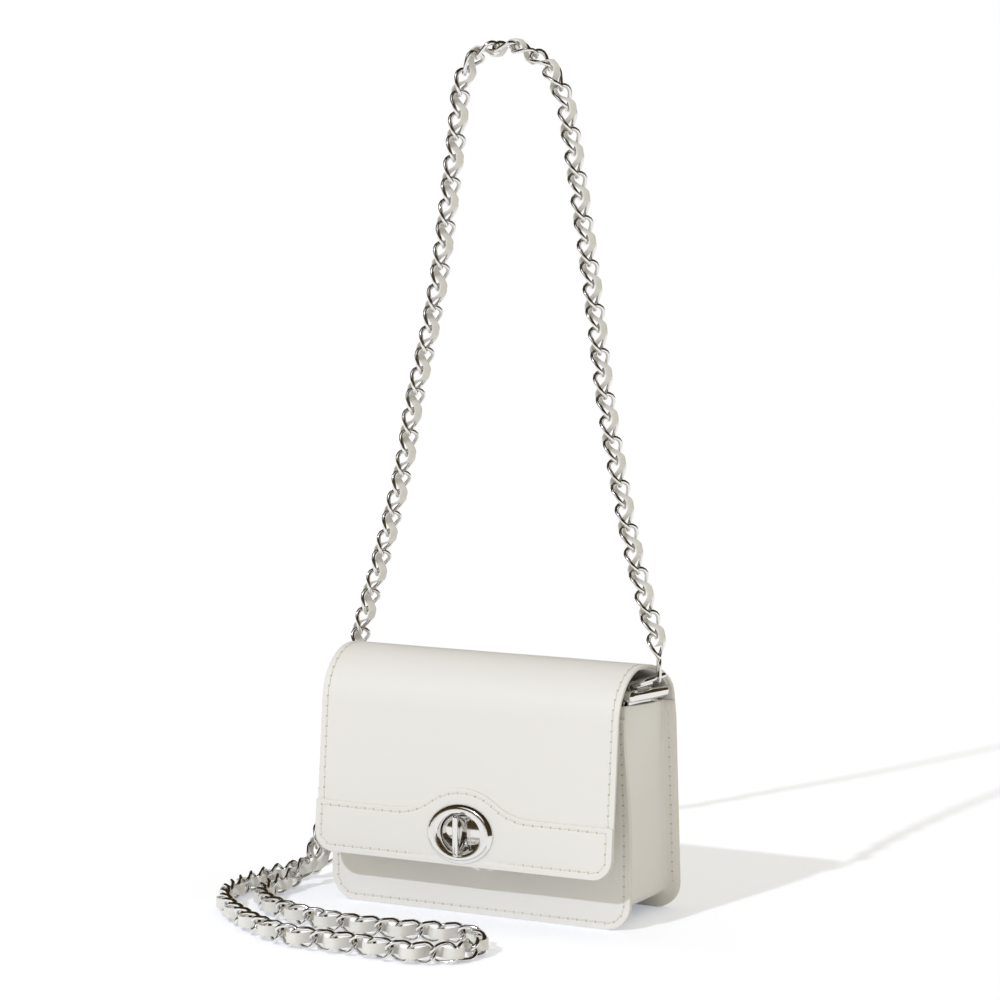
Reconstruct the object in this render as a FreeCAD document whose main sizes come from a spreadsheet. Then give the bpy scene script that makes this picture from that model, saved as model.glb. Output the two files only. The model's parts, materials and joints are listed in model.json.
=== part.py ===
import FreeCAD, Part
import math
import os

import Sketcher
from FreeCAD import Matrix, Placement, Rotation, Vector

# White chain shoulder bag, in millimetres. X is to the right of someone who faces the
# front, Y points to the back, Z is up. The origin is on the surface that the bag stands
# on, at the middle of the bag's box without its strap.

# Driving sizes, one cell of the sheet each
SIZES = {
    # Panels, gusset and linings
    "panel_width": 160.0,
    "panel_height": 100.0,
    "panel_corner": 12.8,
    "panel_leather": 1.6,
    "board_thickness": 1.2,
    "bag_depth": 57.5,
    "back_lean": 4.0,
    "back_skive": 1.4,
    "seam_width": 6.5,
    "gusset_leather": 1.2,
    "gusset_height": 104.0,
    "lining_cloth": 0.6,
    "lining_height": 95.0,
    "washer_thickness": 0.8,
    "fit_gap": 0.3,
    "overrun": 5.0,
    # Flap
    "hinge_height": 106.0,
    "flap_width": 157.0,
    "flap_bottom": 27.4,
    "flap_corner": 10.0,
    "flap_leather": 1.6,
    "flap_lining": 1.0,
    "flap_lining_inset": 1.2,
    "lining_back_off": 2.0,
    "rear_roll_radius": 10.0,
    "rear_roll_angle": 52.3,
    "crown_set_back": 26.07,
    "front_roll_radius": 26.0,
    "front_lean": 5.1,
    "overlay_leather": 1.4,
    "overlay_side_height": 51.7,
    "overlay_peak_height": 63.4,
    "overlay_bell_half": 36.0,
    # Turn lock
    "lock_height": 42.2,
    "plate_half_width": 17.5,
    "plate_half_height": 14.2,
    "plate_wall": 0.7,
    "plate_bevel": 1.5,
    "plate_bevel_angle": 48.0,
    "opening_half_width": 11.4,
    "opening_half_height": 9.7,
    "leather_hole_margin": 0.9,
    "rivet_radius": 0.9,
    "rivet_gap": 0.05,
    "plate_rivet_reach": 14.3,
    "base_half_width": 13.0,
    "base_half_height": 11.0,
    "base_thickness": 1.2,
    "pedestal_half_width": 10.2,
    "pedestal_half_height": 8.5,
    "pedestal_reach": 12.0,
    "pedestal_wall": 2.4,
    "pedestal_bore": 6.0,
    "base_rivet_reach": 11.6,
    "knob_reach": 23.6,
    "knob_head": 2.4,
    "knob_half_length": 10.1,
    "knob_neck_half_length": 8.5,
    "knob_round": 1.6,
    "knob_thickness": 5.4,
    "knob_waist": 2.6,
    "post_radius": 2.0,
    "post_gap": 0.05,
    "spring_thickness": 1.1,
    "spring_radius": 4.4,
    "retainer_radius": 4.0,
    "retainer_thickness": 1.2,
    # Ring hardware at the gusset tops
    "clip_end_gap": 4.0,
    "clip_width": 3.6,
    "clip_drop": 3.5,
    "clip_wall": 6.5,
    "knuckle_radius": 2.2,
    "knuckle_length": 15.0,
    "screw_radius": 0.9,
    "screw_head_radius": 1.5,
    "screw_head": 0.8,
    "screw_end": 5.5,
    "ring_wire": 1.15,
    "ring_half_length": 10.2,
    "ring_rise": 10.3,
    "ring_bend": 5.0,
    "ring_gap": 0.12,
    "ring_tilt": 65.0,
    # Strap
    "link_wire": 0.87,
    "link_inner_length": 10.7,
    "link_inner_width": 7.5,
    "link_play": 0.3,
    "link_roll": 35.0,
    "arch_face_turn": 78.0,
    "end_link_wire": 0.75,
    "end_link_seat": 0.35,
    "right_link_turn": 124.0,
    "left_link_turn": 50.0,
    "ribbon_width": 4.9,
    "ribbon_thickness": 0.8,
    "ribbon_swing": 3.85,
    "right_link_shift": 0.8,
    "left_link_shift": -0.2,
}

# Share of a link's pitch, from its centre, at which the ribbon has reached its full swing
RIBBON_TURN_SHARE = 0.37
# Part of the slack's length, from its top, over which the ribbon turns on edge
SLACK_TWIST_SHARE = 0.12
# Multiple of the bag's depth through which a front-view outline is carried
PRISM_DEPTH_SHARE = 3
# Place of the scoops in the knob's flanks, as a share of half its reach behind the ridge
SCOOP_PLACE_SHARE = 0.8
# Points along each strap curve at which its frame is carried from one to the next
FRAME_STEPS_PER_LINK = 6

# Route of the strap's raised stretch, from the right ring's link to the left side. The
# link's own place comes first, and is worked out from the ring.
ARCH_ROUTE = [
    (82.2, 9.1, 131.0), (75.0, 9.6, 151.0), (66.2, 10.2, 181.0), (58.4, 10.8, 217.0),
    (52.0, 11.4, 249.0), (47.2, 12.2, 285.0), (41.2, 13.0, 322.0), (33.5, 14.0, 367.0),
    (28.5, 14.5, 391.5), (13.0, 15.0, 409.0), (-11.0, 15.0, 411.0), (-25.5, 15.5, 398.5),
    (-28.2, 16.0, 373.0), (-33.5, 17.0, 338.0), (-39.0, 18.0, 302.0), (-47.0, 19.0, 267.0),
    (-55.5, 20.2, 238.0), (-59.5, 21.2, 213.0), (-69.0, 22.6, 181.0), (-78.5, 24.0, 152.0),
    (-88.5, 25.5, 124.0), (-91.0, 26.0, 110.0),
]
# Route of the slack: down beside the bag, a doubled loop on the floor, and up to the left
# ring, whose link's place comes last and is worked out from the ring
SLACK_ROUTE = [
    (-91.0, 26.0, 110.0), (-93.4, 26.4, 96.5), (-94.8, 26.8, 72.0), (-96.0, 27.0, 48.0),
    (-98.0, 26.5, 30.0), (-102.0, 24.0, 16.5), (-108.0, 18.5, 8.0), (-114.0, 9.5, 5.2),
    (-118.5, -3.0, 5.2), (-121.0, -19.0, 5.2), (-121.0, -37.0, 5.2), (-117.5, -54.0, 5.2),
    (-109.0, -70.0, 5.2), (-96.0, -84.0, 5.2), (-79.0, -97.5, 5.2), (-62.0, -108.5, 5.2),
    (-45.0, -115.0, 5.2), (-27.0, -115.8, 5.2), (-9.0, -114.8, 5.2), (9.0, -118.2, 5.2),
    (28.0, -116.5, 5.2), (43.0, -109.0, 5.2), (48.5, -94.0, 5.2), (40.5, -79.5, 5.2),
    (23.0, -74.5, 5.2), (2.0, -80.0, 5.2), (-17.0, -82.3, 5.2), (-36.0, -82.4, 5.2),
    (-54.0, -79.5, 5.2), (-72.0, -73.5, 5.2), (-88.0, -64.5, 5.2), (-99.5, -52.0, 5.2),
    (-104.8, -38.0, 5.2), (-106.0, -26.0, 5.2), (-105.0, -14.0, 5.8), (-103.0, -1.0, 11.0),
    (-100.0, 6.5, 24.0), (-97.5, 8.5, 42.0), (-96.0, 8.0, 66.0), (-94.5, 8.0, 88.0),
    (-90.5, 8.0, 104.5),
]

X_AXIS = Vector(1, 0, 0)
Y_AXIS = Vector(0, 1, 0)
Z_AXIS = Vector(0, 0, 1)


class Size:
    """A length or angle of the sheet, or a sum of them, as an expression and its value."""

    def __init__(self, text, value):
        self.text = text
        self.value = value

    @staticmethod
    def of(other):
        return other if isinstance(other, Size) else Size(repr(other), float(other))

    def __add__(self, other):
        other = Size.of(other)
        return Size(f"({self.text} + {other.text})", self.value + other.value)

    def __sub__(self, other):
        other = Size.of(other)
        return Size(f"({self.text} - {other.text})", self.value - other.value)

    def __mul__(self, other):
        other = Size.of(other)
        return Size(f"({self.text} * {other.text})", self.value * other.value)

    def __truediv__(self, other):
        other = Size.of(other)
        return Size(f"({self.text} / {other.text})", self.value / other.value)

    def __neg__(self):
        return Size(f"(-1 * {self.text})", -self.value)

    def sin(self):
        return Size(f"sin({self.text})", math.sin(math.radians(self.value)))

    def cos(self):
        return Size(f"cos({self.text})", math.cos(math.radians(self.value)))

    def tan(self):
        return Size(f"tan({self.text})", math.tan(math.radians(self.value)))


doc = FreeCAD.newDocument("ChainBag")
sheet = doc.addObject("Spreadsheet::Sheet", "Sizes")
for row, (alias, number) in enumerate(SIZES.items(), start=1):
    sheet.set(f"A{row}", alias)
    sheet.set(f"B{row}", str(number))
    sheet.setAlias(f"B{row}", alias)
doc.recompute()

S = {alias: Size(f"Sizes.{alias}", float(sheet.get(alias))) for alias in SIZES}
ZERO = Size("0", 0.0)
NODES = {}


def node(label, obj):
    """Name an object as one of the bag's pieces."""
    obj.Label = label
    NODES[label] = obj
    return obj


def bind(obj, **sizes):
    """Bind properties of an object to the sheet; Base_x stands for Placement.Base.x."""
    for name, size in sizes.items():
        path = name.replace("Base_", "Placement.Base.")
        obj.setExpression(path, size.text)
    return obj


def add(kind, name, **sizes):
    """Add a document object with its sizes bound."""
    return bind(doc.addObject(kind, name), **sizes)


def toward(start, end):
    """Unit step from one corner to the next, for edges along the sketch's axes."""
    run, rise = end[0].value - start[0].value, end[1].value - start[1].value
    length = math.hypot(run, rise)
    return run / length, rise / length


def outline(body, role, corners):
    """Sketch a closed outline of (x, y, corner radius or None) on an origin plane of a body."""
    sketch = body.newObject("Sketcher::SketchObject", body.Name + "Sketch")
    plane = next(f for f in body.Origin.OriginFeatures if f.Role == role)
    sketch.AttachmentSupport = (plane, "")
    sketch.MapMode = "FlatFace"
    ends = []
    for index, (x, y, radius) in enumerate(corners):
        if radius is None:
            ends.append(((x, y), (x, y)))
            continue
        back = toward((x, y), corners[index - 1])
        ahead = toward((x, y), corners[(index + 1) % len(corners)])
        ends.append(tuple((x + radius * step[0], y + radius * step[1]) for step in (back, ahead)))
    lines = []
    for index in range(len(corners)):
        start, end = ends[index][1], ends[(index + 1) % len(corners)][0]
        line = sketch.addGeometry(Part.LineSegment(flat(start), flat(end)))
        for position, point in ((1, start), (2, end)):
            datum(sketch, "DistanceX", (-1, 1, line, position), point[0])
            datum(sketch, "DistanceY", (-1, 1, line, position), point[1])
        lines.append(line)
    for index, (x, y, radius) in enumerate(corners):
        if radius is not None:
            round_corner(sketch, lines[index - 1], lines[index], ends[index], flat((x, y)), radius)
    return sketch


def flat(point):
    """Sketch vector of a pair of sizes."""
    return Vector(point[0].value, point[1].value, 0)


def datum(sketch, kind, where, size):
    """Add a dimension to a sketch and bind it to the sheet."""
    number = sketch.addConstraint(Sketcher.Constraint(kind, *where, size.value))
    sketch.setExpression(f"Constraints[{number}]", size.text)


def round_corner(sketch, line_in, line_out, ends, corner, radius):
    """Round a square corner between two lines of a sketch."""
    start, end = flat(ends[0]), flat(ends[1])
    centre = start + end - corner
    turn = (corner - start).cross(end - corner).z
    first, last = (start, end) if turn > 0 else (end, start)
    angles = [math.atan2(p.y - centre.y, p.x - centre.x) for p in (first, last)]
    circle = Part.Circle(centre, Z_AXIS, radius.value)
    arc = sketch.addGeometry(Part.ArcOfCircle(circle, *angles))
    in_end, out_end = (1, 2) if turn > 0 else (2, 1)
    sketch.addConstraint(Sketcher.Constraint("Coincident", arc, in_end, line_in, 2))
    sketch.addConstraint(Sketcher.Constraint("Coincident", arc, out_end, line_out, 1))
    datum(sketch, "Radius", (arc,), radius)


def slab(name, role, corners, length, base=(ZERO, ZERO, ZERO), lean=None, middle=False, back=False):
    """Pad an outline into a body, placed at base and leaned about X."""
    body = doc.addObject("PartDesign::Body", name)
    sketch = outline(body, role, corners)
    pad = body.newObject("PartDesign::Pad", name + "Pad")
    pad.Profile = sketch
    bind(pad, Length=length)
    pad.Midplane = middle
    pad.Reversed = back
    if lean is not None:
        body.Placement = Placement(Vector(), Rotation(X_AXIS, lean.value))
    bind(body, Base_x=base[0], Base_y=base[1], Base_z=base[2])
    return body


def boolean(kind, name, base, tool):
    """Cut or intersect two objects."""
    result = doc.addObject("Part::" + kind, name)
    result.Base = base
    result.Tool = tool
    return result


def fuse(name, *shapes):
    """Join objects into one solid."""
    result = doc.addObject("Part::MultiFuse", name)
    result.Shapes = list(shapes)
    result.Refine = True
    return result


def rod(name, radius, length, base, turn=None):
    """A cylinder along Z from base, or turned."""
    cylinder = add("Part::Cylinder", name, Radius=radius, Height=length)
    if turn is not None:
        cylinder.Placement = Placement(Vector(), turn)
    return bind(cylinder, Base_x=base[0], Base_y=base[1], Base_z=base[2])


def oval(name, half_width, half_height, length, base, turn):
    """An elliptical boss whose length runs along its turned Z axis."""
    ellipse = add("Part::Ellipse", name + "Curve", MajorRadius=half_width, MinorRadius=half_height)
    boss = add("Part::Extrusion", name, LengthFwd=length)
    boss.Base = ellipse
    boss.DirMode = "Custom"
    boss.Dir = Z_AXIS
    boss.Solid = True
    boss.Placement = Placement(Vector(), turn)
    return bind(boss, Base_x=base[0], Base_y=base[1], Base_z=base[2])


def shaped(name, shape):
    """An object whose shape is worked out here from the sheet's values."""
    feature = doc.addObject("Part::Feature", name)
    feature.Shape = shape
    return feature


def u_shape(half, bottom, radius, wall, top):
    """Corners of a U-shaped strip, open at the top."""
    inner_half, inner_bottom, inner_radius = half - wall, bottom + wall, radius - wall
    return [
        (-half, bottom, radius), (half, bottom, radius), (half, top, None),
        (inner_half, top, None), (inner_half, inner_bottom, inner_radius),
        (-inner_half, inner_bottom, inner_radius), (-inner_half, top, None), (-half, top, None),
    ]


def tub(half, bottom, radius, top):
    """Corners of a plate with rounded lower corners."""
    return [(-half, bottom, radius), (half, bottom, radius), (half, top, None), (-half, top, None)]


# Places that many pieces share
front_y = (S["knob_reach"] - S["bag_depth"]) / 2
back_y = front_y + S["bag_depth"]
half_panel = S["panel_width"] / 2
web_half = half_panel - S["seam_width"]
web_inset = S["seam_width"] + S["gusset_leather"]
web_round = S["panel_corner"] - S["seam_width"]
stack = S["flap_leather"] + S["flap_lining"]
back_start = (S["panel_leather"] + S["gusset_leather"]) * S["back_lean"].tan()
back_top = S["hinge_height"] - stack / 2 - S["fit_gap"]
tall = S["hinge_height"] + S["overrun"]
FORWARD = Rotation(X_AXIS, 90)
FACE_TURN = Rotation(X_AXIS, 90 - S["front_lean"].value)


def back_base(depth):
    """Base point of a leaning layer that lies a depth inside the back panel's outer face."""
    return (ZERO, back_y - depth * S["back_lean"].cos(), -depth * S["back_lean"].sin())


def wedge(name, depth):
    """The room between the panels, less a depth at the front and the back."""
    near = front_y + depth
    far = back_y - depth / S["back_lean"].cos()
    far_top = far - tall * S["back_lean"].tan()
    corners = [(near, ZERO, None), (far, ZERO, None), (far_top, tall, None), (near, tall, None)]
    return slab(name, "YZ_Plane", corners, S["panel_width"], middle=True)


def rivet_holes(name, reach, radius, start, length):
    """Two cylinders along Y, a reach to each side of the lock's middle."""
    sides = [
        rod(f"{name}{side}", radius, length, (reach * sign, start, S["lock_height"]), FORWARD)
        for side, sign in (("Left", -1), ("Right", 1))
    ]
    return sides


# Panels and boards
inner_face = front_y + S["panel_leather"]
board_face = inner_face + S["board_thickness"]
washer_face = board_face + S["washer_thickness"]
board_half = half_panel - web_inset - S["fit_gap"]
board_bottom = web_inset + S["fit_gap"]
board_round = S["panel_corner"] - board_bottom
rivet_hole = S["rivet_radius"] + S["rivet_gap"]

front_blank = slab(
    "FrontBlank", "XZ_Plane", tub(half_panel, ZERO, S["panel_corner"], S["panel_height"]),
    S["panel_leather"], (ZERO, front_y, ZERO), back=True)
front_holes = fuse("FrontHoles", *rivet_holes(
    "FrontHole", S["base_rivet_reach"], rivet_hole, washer_face, S["bag_depth"] / 2))
node("front_panel", boolean("Cut", "FrontPanel", front_blank, front_holes))

front_board_blank = slab(
    "FrontBoardBlank", "XZ_Plane", tub(board_half, board_bottom, board_round, S["panel_height"]),
    S["board_thickness"], (ZERO, inner_face, ZERO), back=True)
node("front_board", boolean("Cut", "FrontBoard", front_board_blank, front_holes))

# The back panel's top edge is pared to a slope on the outside, so that the flap folds back
back_blank = slab(
    "BackBlank", "XZ_Plane", tub(half_panel, back_start, S["panel_corner"], back_top),
    S["panel_leather"], back_base(ZERO), lean=S["back_lean"])
skive_low, skive_high = back_top - S["back_skive"], back_top + S["overrun"]
back_skive = slab("BackSkive", "YZ_Plane", [
    (ZERO, skive_low, None), (S["overrun"], skive_low, None), (S["overrun"], skive_high, None),
    (-S["panel_leather"], skive_high, None), (-S["panel_leather"], back_top, None)],
    S["panel_width"] + S["overrun"], back_base(ZERO), lean=S["back_lean"], middle=True)
node("back_panel", boolean("Cut", "BackPanel", back_blank, back_skive))
node("back_board", slab(
    "BackBoard", "XZ_Plane", tub(board_half, board_bottom, board_round, back_top),
    S["board_thickness"], back_base(S["panel_leather"]), lean=S["back_lean"]))

# Gusset: a U-shaped web between the panels, with seam flanges turned outwards
gusset_wall = S["gusset_leather"]
flange = u_shape(half_panel, ZERO, S["panel_corner"], web_inset, S["gusset_height"])
back_flange = u_shape(half_panel, back_start, S["panel_corner"], web_inset, S["gusset_height"])
web_blank = slab(
    "WebBlank", "XZ_Plane",
    u_shape(web_half, S["seam_width"], web_round, gusset_wall, S["gusset_height"]),
    S["bag_depth"], (ZERO, front_y, ZERO), back=True)
web = boolean("Common", "GussetWeb", web_blank, wedge("WebRoom", S["panel_leather"]))
gusset_sewn = fuse(
    "GussetSewn", web,
    slab("FrontFlange", "XZ_Plane", flange, gusset_wall, (ZERO, inner_face, ZERO), back=True),
    slab("BackFlange", "XZ_Plane", back_flange, gusset_wall,
         back_base(S["panel_leather"]), lean=S["back_lean"]))

# Base board and lining
lining_depth = S["panel_leather"] + S["board_thickness"] + S["washer_thickness"]
lining_half = half_panel - board_bottom
lining_bottom = web_inset + S["board_thickness"]
lining_round = S["panel_corner"] - web_inset
cloth = S["lining_cloth"]
base_half = web_half - web_round
base_depth = S["bag_depth"] - (lining_depth + S["fit_gap"]) * 2
base_box = add(
    "Part::Box", "BaseBoard", Length=base_half * 2, Width=base_depth, Height=S["board_thickness"],
    Base_x=-base_half, Base_y=front_y + lining_depth, Base_z=web_inset)
node("base_board", base_box)

lining_outer = boolean(
    "Common", "LiningOuter",
    slab("LiningBlank", "XZ_Plane", tub(lining_half, lining_bottom, lining_round, S["lining_height"]),
         S["bag_depth"], (ZERO, front_y, ZERO), back=True),
    wedge("LiningRoom", lining_depth))
lining_inner = boolean(
    "Common", "LiningInner",
    slab("LiningCore", "XZ_Plane",
         tub(lining_half - cloth, lining_bottom + cloth, lining_round - cloth, tall),
         S["bag_depth"], (ZERO, front_y, ZERO), back=True),
    wedge("LiningHollow", lining_depth + cloth))
node("lining", boolean("Cut", "Lining", lining_outer, lining_inner))


# The crown spans the bag's depth, so that the flap's front keeps its distance from the panel
crown_radius = (S["bag_depth"] - S["crown_set_back"]) / S["rear_roll_angle"].cos()


class FlapCurve:
    """Side profile of the flap: rear roll, crown, front roll and straight front, as arcs."""

    def __init__(self):
        lean = S["back_lean"].value
        self.lean = lean
        self.roll_end = S["rear_roll_angle"].value
        self.front_angle = 180 - S["front_lean"].value
        self.radii = [S["rear_roll_radius"].value, crown_radius.value, S["front_roll_radius"].value]
        self.hinge = self.back_point(stack.value / 2)
        rear = self.back_point(0) - self.normal(lean) * self.radii[0]
        crown = rear + self.normal(self.roll_end) * (self.radii[0] - self.radii[1])
        front = crown + Z_AXIS * (self.radii[1] - self.radii[2])
        self.centres = [rear, crown, front]

    def back_point(self, depth):
        """Point at the hinge's height, a depth inside the back panel's outer face."""
        outer = Vector(0, back_y.value, 0)
        turn = Rotation(X_AXIS, self.lean)
        return outer + turn.multVec(Vector(0, -depth, S["hinge_height"].value))

    @staticmethod
    def normal(angle):
        """Outward direction at an angle from the back, over the top."""
        return Vector(0, math.cos(math.radians(angle)), math.sin(math.radians(angle)))

    def point(self, part, angle, inset):
        """Point of one arc at an angle, an inset inside the outer surface."""
        return self.centres[part] + self.normal(angle) * (self.radii[part] - inset)

    def front_at(self, height, inset):
        """Point of the straight front at a height."""
        top = self.point(2, self.front_angle, inset)
        drop = top.z - height
        return Vector(0, top.y - drop * S["front_lean"].tan().value, height)

    def edges(self, inset, start, bottom):
        """Edges of the profile from the hinge to the lower edge."""
        spans = [(0, start, self.roll_end), (1, self.roll_end, 90), (2, 90, self.front_angle)]
        arcs = [
            Part.Arc(*(self.point(part, angle, inset) for angle in (low, (low + high) / 2, high))).toShape()
            for part, low, high in spans
        ]
        front = Part.makeLine(self.point(2, self.front_angle, inset), self.front_at(bottom, inset))
        return arcs + [front]

    def sheet(self, outer, inner, start, width):
        """A bent sheet between two insets, across a width."""
        bottom = S["flap_bottom"].value - S["overrun"].value
        outside = self.edges(outer, start, bottom)
        inside = self.edges(inner, start, bottom)
        ends = [
            Part.makeLine(outside[0].Vertexes[0].Point, inside[0].Vertexes[0].Point),
            Part.makeLine(outside[-1].Vertexes[-1].Point, inside[-1].Vertexes[-1].Point),
        ]
        wire = Part.Wire(Part.__sortEdges__(outside + inside + ends))
        face = Part.Face(wire)
        face.translate(X_AXIS * (-width / 2))
        return face.extrude(X_AXIS * width)


def front_prism(wire):
    """A front-view outline carried through the bag's whole depth."""
    prism = Part.Face(wire)
    prism.translate(-Y_AXIS * S["bag_depth"].value)
    return prism.extrude(Y_AXIS * (PRISM_DEPTH_SHARE * S["bag_depth"].value))


def arc_to(start, end, bulge_centre, radius):
    """Arc between two points about a centre, by its middle point."""
    middle = (start + end) * 0.5 - bulge_centre
    middle.normalize()
    return Part.Arc(start, bulge_centre + middle * radius, end).toShape()


def flap_wire(half, bottom, radius, top_edges):
    """Flap outline from the front: rounded lower corners under a given top."""
    left, right = Vector(-half, 0, bottom + radius), Vector(half, 0, bottom + radius)
    low_left, low_right = Vector(radius - half, 0, bottom), Vector(half - radius, 0, bottom)
    start, end = top_edges[0].Vertexes[0].Point, top_edges[-1].Vertexes[-1].Point
    rest = [
        Part.makeLine(start, left),
        arc_to(left, low_left, Vector(radius - half, 0, bottom + radius), radius),
        Part.makeLine(low_left, low_right),
        arc_to(low_right, right, Vector(half - radius, 0, bottom + radius), radius),
        Part.makeLine(right, end),
    ]
    return Part.Wire(Part.__sortEdges__(rest + list(top_edges)))


def plain_top(half):
    """Straight top edge, above the flap's crown."""
    height = (S["hinge_height"] + crown_radius).value
    return [Part.makeLine(Vector(-half, 0, height), Vector(half, 0, height))]


def bell_top(half):
    """Top edge of the overlay: level sides that wave up over the lock in four equal arcs."""
    side, peak = S["overlay_side_height"].value, S["overlay_peak_height"].value
    reach, rise = S["overlay_bell_half"].value / 2, (peak - side) / 2
    radius = (reach ** 2 + rise ** 2) / (2 * rise)
    feet = [Vector(-half, 0, side), Vector(-2 * reach, 0, side)]
    waist_left, waist_right = Vector(-reach, 0, side + rise), Vector(reach, 0, side + rise)
    top = Vector(0, 0, peak)
    foot_right, end = Vector(2 * reach, 0, side), Vector(half, 0, side)
    high, low = Vector(0, 0, peak - radius), Vector(-2 * reach, 0, side + radius)
    low_right = Vector(2 * reach, 0, side + radius)
    return [
        Part.makeLine(feet[0], feet[1]),
        arc_to(feet[1], waist_left, low, radius),
        arc_to(waist_left, top, high, radius),
        arc_to(top, waist_right, high, radius),
        arc_to(waist_right, foot_right, low_right, radius),
        Part.makeLine(foot_right, end),
    ]


# Flap
curve = FlapCurve()
half_flap = S["flap_width"].value / 2
lean = S["back_lean"].value
knuckle = Part.makeCylinder(
    stack.value / 2, S["flap_width"].value, curve.hinge - X_AXIS * half_flap, X_AXIS)
knuckle_room = (stack / 2 + S["fit_gap"]) / S["rear_roll_radius"]
lining_start = lean + math.degrees(knuckle_room.value) + S["lining_back_off"].value
lock_z = S["lock_height"].value
lock_skin = curve.front_at(lock_z, -S["overlay_leather"].value)
lock_inside = curve.front_at(lock_z, stack.value)
flap_through = S["bag_depth"].value / 2


def lock_cut(shape):
    """Cut the lock's opening and its rivet holes through a flap layer."""
    opening = Part.Ellipse(
        Vector(), (S["opening_half_width"] + S["leather_hole_margin"]).value,
        (S["opening_half_height"] + S["leather_hole_margin"]).value)
    face = Part.Face(Part.Wire(opening.toShape()))
    tools = [face.extrude(Z_AXIS * flap_through)]
    tools += [
        Part.makeCylinder(rivet_hole.value, flap_through, X_AXIS * (sign * S["plate_rivet_reach"].value))
        for sign in (-1, 1)
    ]
    for tool in tools:
        tool.translate(-Z_AXIS * (flap_through / 2))
        tool.Placement = Placement(lock_skin, FACE_TURN).multiply(tool.Placement)
        shape = shape.cut(tool)
    return shape


flap_front = front_prism(flap_wire(
    half_flap, S["flap_bottom"].value, S["flap_corner"].value, plain_top(half_flap)))
leather = curve.sheet(0, S["flap_leather"].value, lean, S["flap_width"].value)
leather = lock_cut(leather.common(flap_front)).fuse(knuckle).removeSplitter()
node("flap_leather", shaped("FlapLeather", leather))

inset = S["flap_lining_inset"].value
lining_front = front_prism(flap_wire(
    half_flap - inset, S["flap_bottom"].value + inset, S["flap_corner"].value - inset,
    plain_top(half_flap - inset)))
flap_cloth = curve.sheet(S["flap_leather"].value, stack.value, lining_start, S["flap_width"].value)
node("flap_lining", shaped("FlapLining", lock_cut(flap_cloth.common(lining_front))))

overlay_front = front_prism(flap_wire(
    half_flap, S["flap_bottom"].value, S["flap_corner"].value, bell_top(half_flap)))
overlay = curve.sheet(-S["overlay_leather"].value, 0, lean, S["flap_width"].value)
overlay = overlay.common(overlay_front)
node("flap_overlay", shaped("FlapOverlay", lock_cut(overlay)))

# Lock plate, its backing and rivets, on the flap
skin = (ZERO, Size.of(lock_skin.y), S["lock_height"])
plate_front = S["plate_wall"] + S["plate_bevel"]


def along_face(depth):
    """Point a depth in front of the overlay at the lock's middle, square to the flap."""
    return Vector(*(part.value for part in skin)) + FACE_TURN.multVec(Z_AXIS * depth)


def on_face(obj, depth):
    """Place an object, made about the local Z axis, on the flap's front."""
    obj.Placement = Placement(along_face(depth), FACE_TURN)
    return obj


def ring_oval(name, half_width, half_height, length):
    """An elliptical disc about the local Z axis."""
    return oval(name, half_width, half_height, length, (ZERO, ZERO, ZERO), Rotation())


plate_wall = ring_oval("PlateWall", S["plate_half_width"], S["plate_half_height"], S["plate_wall"])
bevel_run = S["plate_bevel"] * S["plate_bevel_angle"].tan()
bevel_low = add(
    "Part::Ellipse", "BevelLow", MajorRadius=S["plate_half_width"], MinorRadius=S["plate_half_height"],
    Base_z=S["plate_wall"])
bevel_high = add(
    "Part::Ellipse", "BevelHigh", MajorRadius=S["plate_half_width"] - bevel_run,
    MinorRadius=S["plate_half_height"] - bevel_run, Base_z=plate_front)
plate_bevel = doc.addObject("Part::Loft", "PlateBevel")
plate_bevel.Sections = [bevel_low, bevel_high]
plate_bevel.Solid = True
plate_bevel.Ruled = True
plate_hole = ring_oval("PlateHole", S["opening_half_width"], S["opening_half_height"], plate_front * 2)
plate = boolean("Cut", "LockPlate", fuse("PlateBlank", plate_wall, plate_bevel), plate_hole)
node("lock_plate", on_face(plate, 0))

layers = stack + S["overlay_leather"]
backing_oval = ring_oval(
    "BackingOval", S["plate_half_width"], S["plate_half_height"] - S["plate_bevel"], S["washer_thickness"])
backing_hole = ring_oval(
    "BackingHole", S["opening_half_width"] + S["leather_hole_margin"],
    S["opening_half_height"] + S["leather_hole_margin"], S["washer_thickness"] * 2)
backing_holes = [
    rod(f"BackingRivetHole{side}", rivet_hole, S["washer_thickness"],
        (S["plate_rivet_reach"] * sign, ZERO, ZERO)) for side, sign in (("Left", -1), ("Right", 1))]
backing = boolean("Cut", "PlateBacking", backing_oval, fuse("BackingCuts", backing_hole, *backing_holes))
node("lock_plate_backing", on_face(backing, -(layers + S["washer_thickness"]).value))

rivet_length = layers + S["washer_thickness"]
plate_rivets = [
    rod(f"PlateRivet{side}", S["rivet_radius"], rivet_length, (S["plate_rivet_reach"] * sign, ZERO, ZERO))
    for side, sign in (("Left", -1), ("Right", 1))]
rivet_pair = doc.addObject("Part::Compound", "PlateRivets")
rivet_pair.Links = plate_rivets
node("lock_plate_rivets", on_face(rivet_pair, -rivet_length.value))

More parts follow.
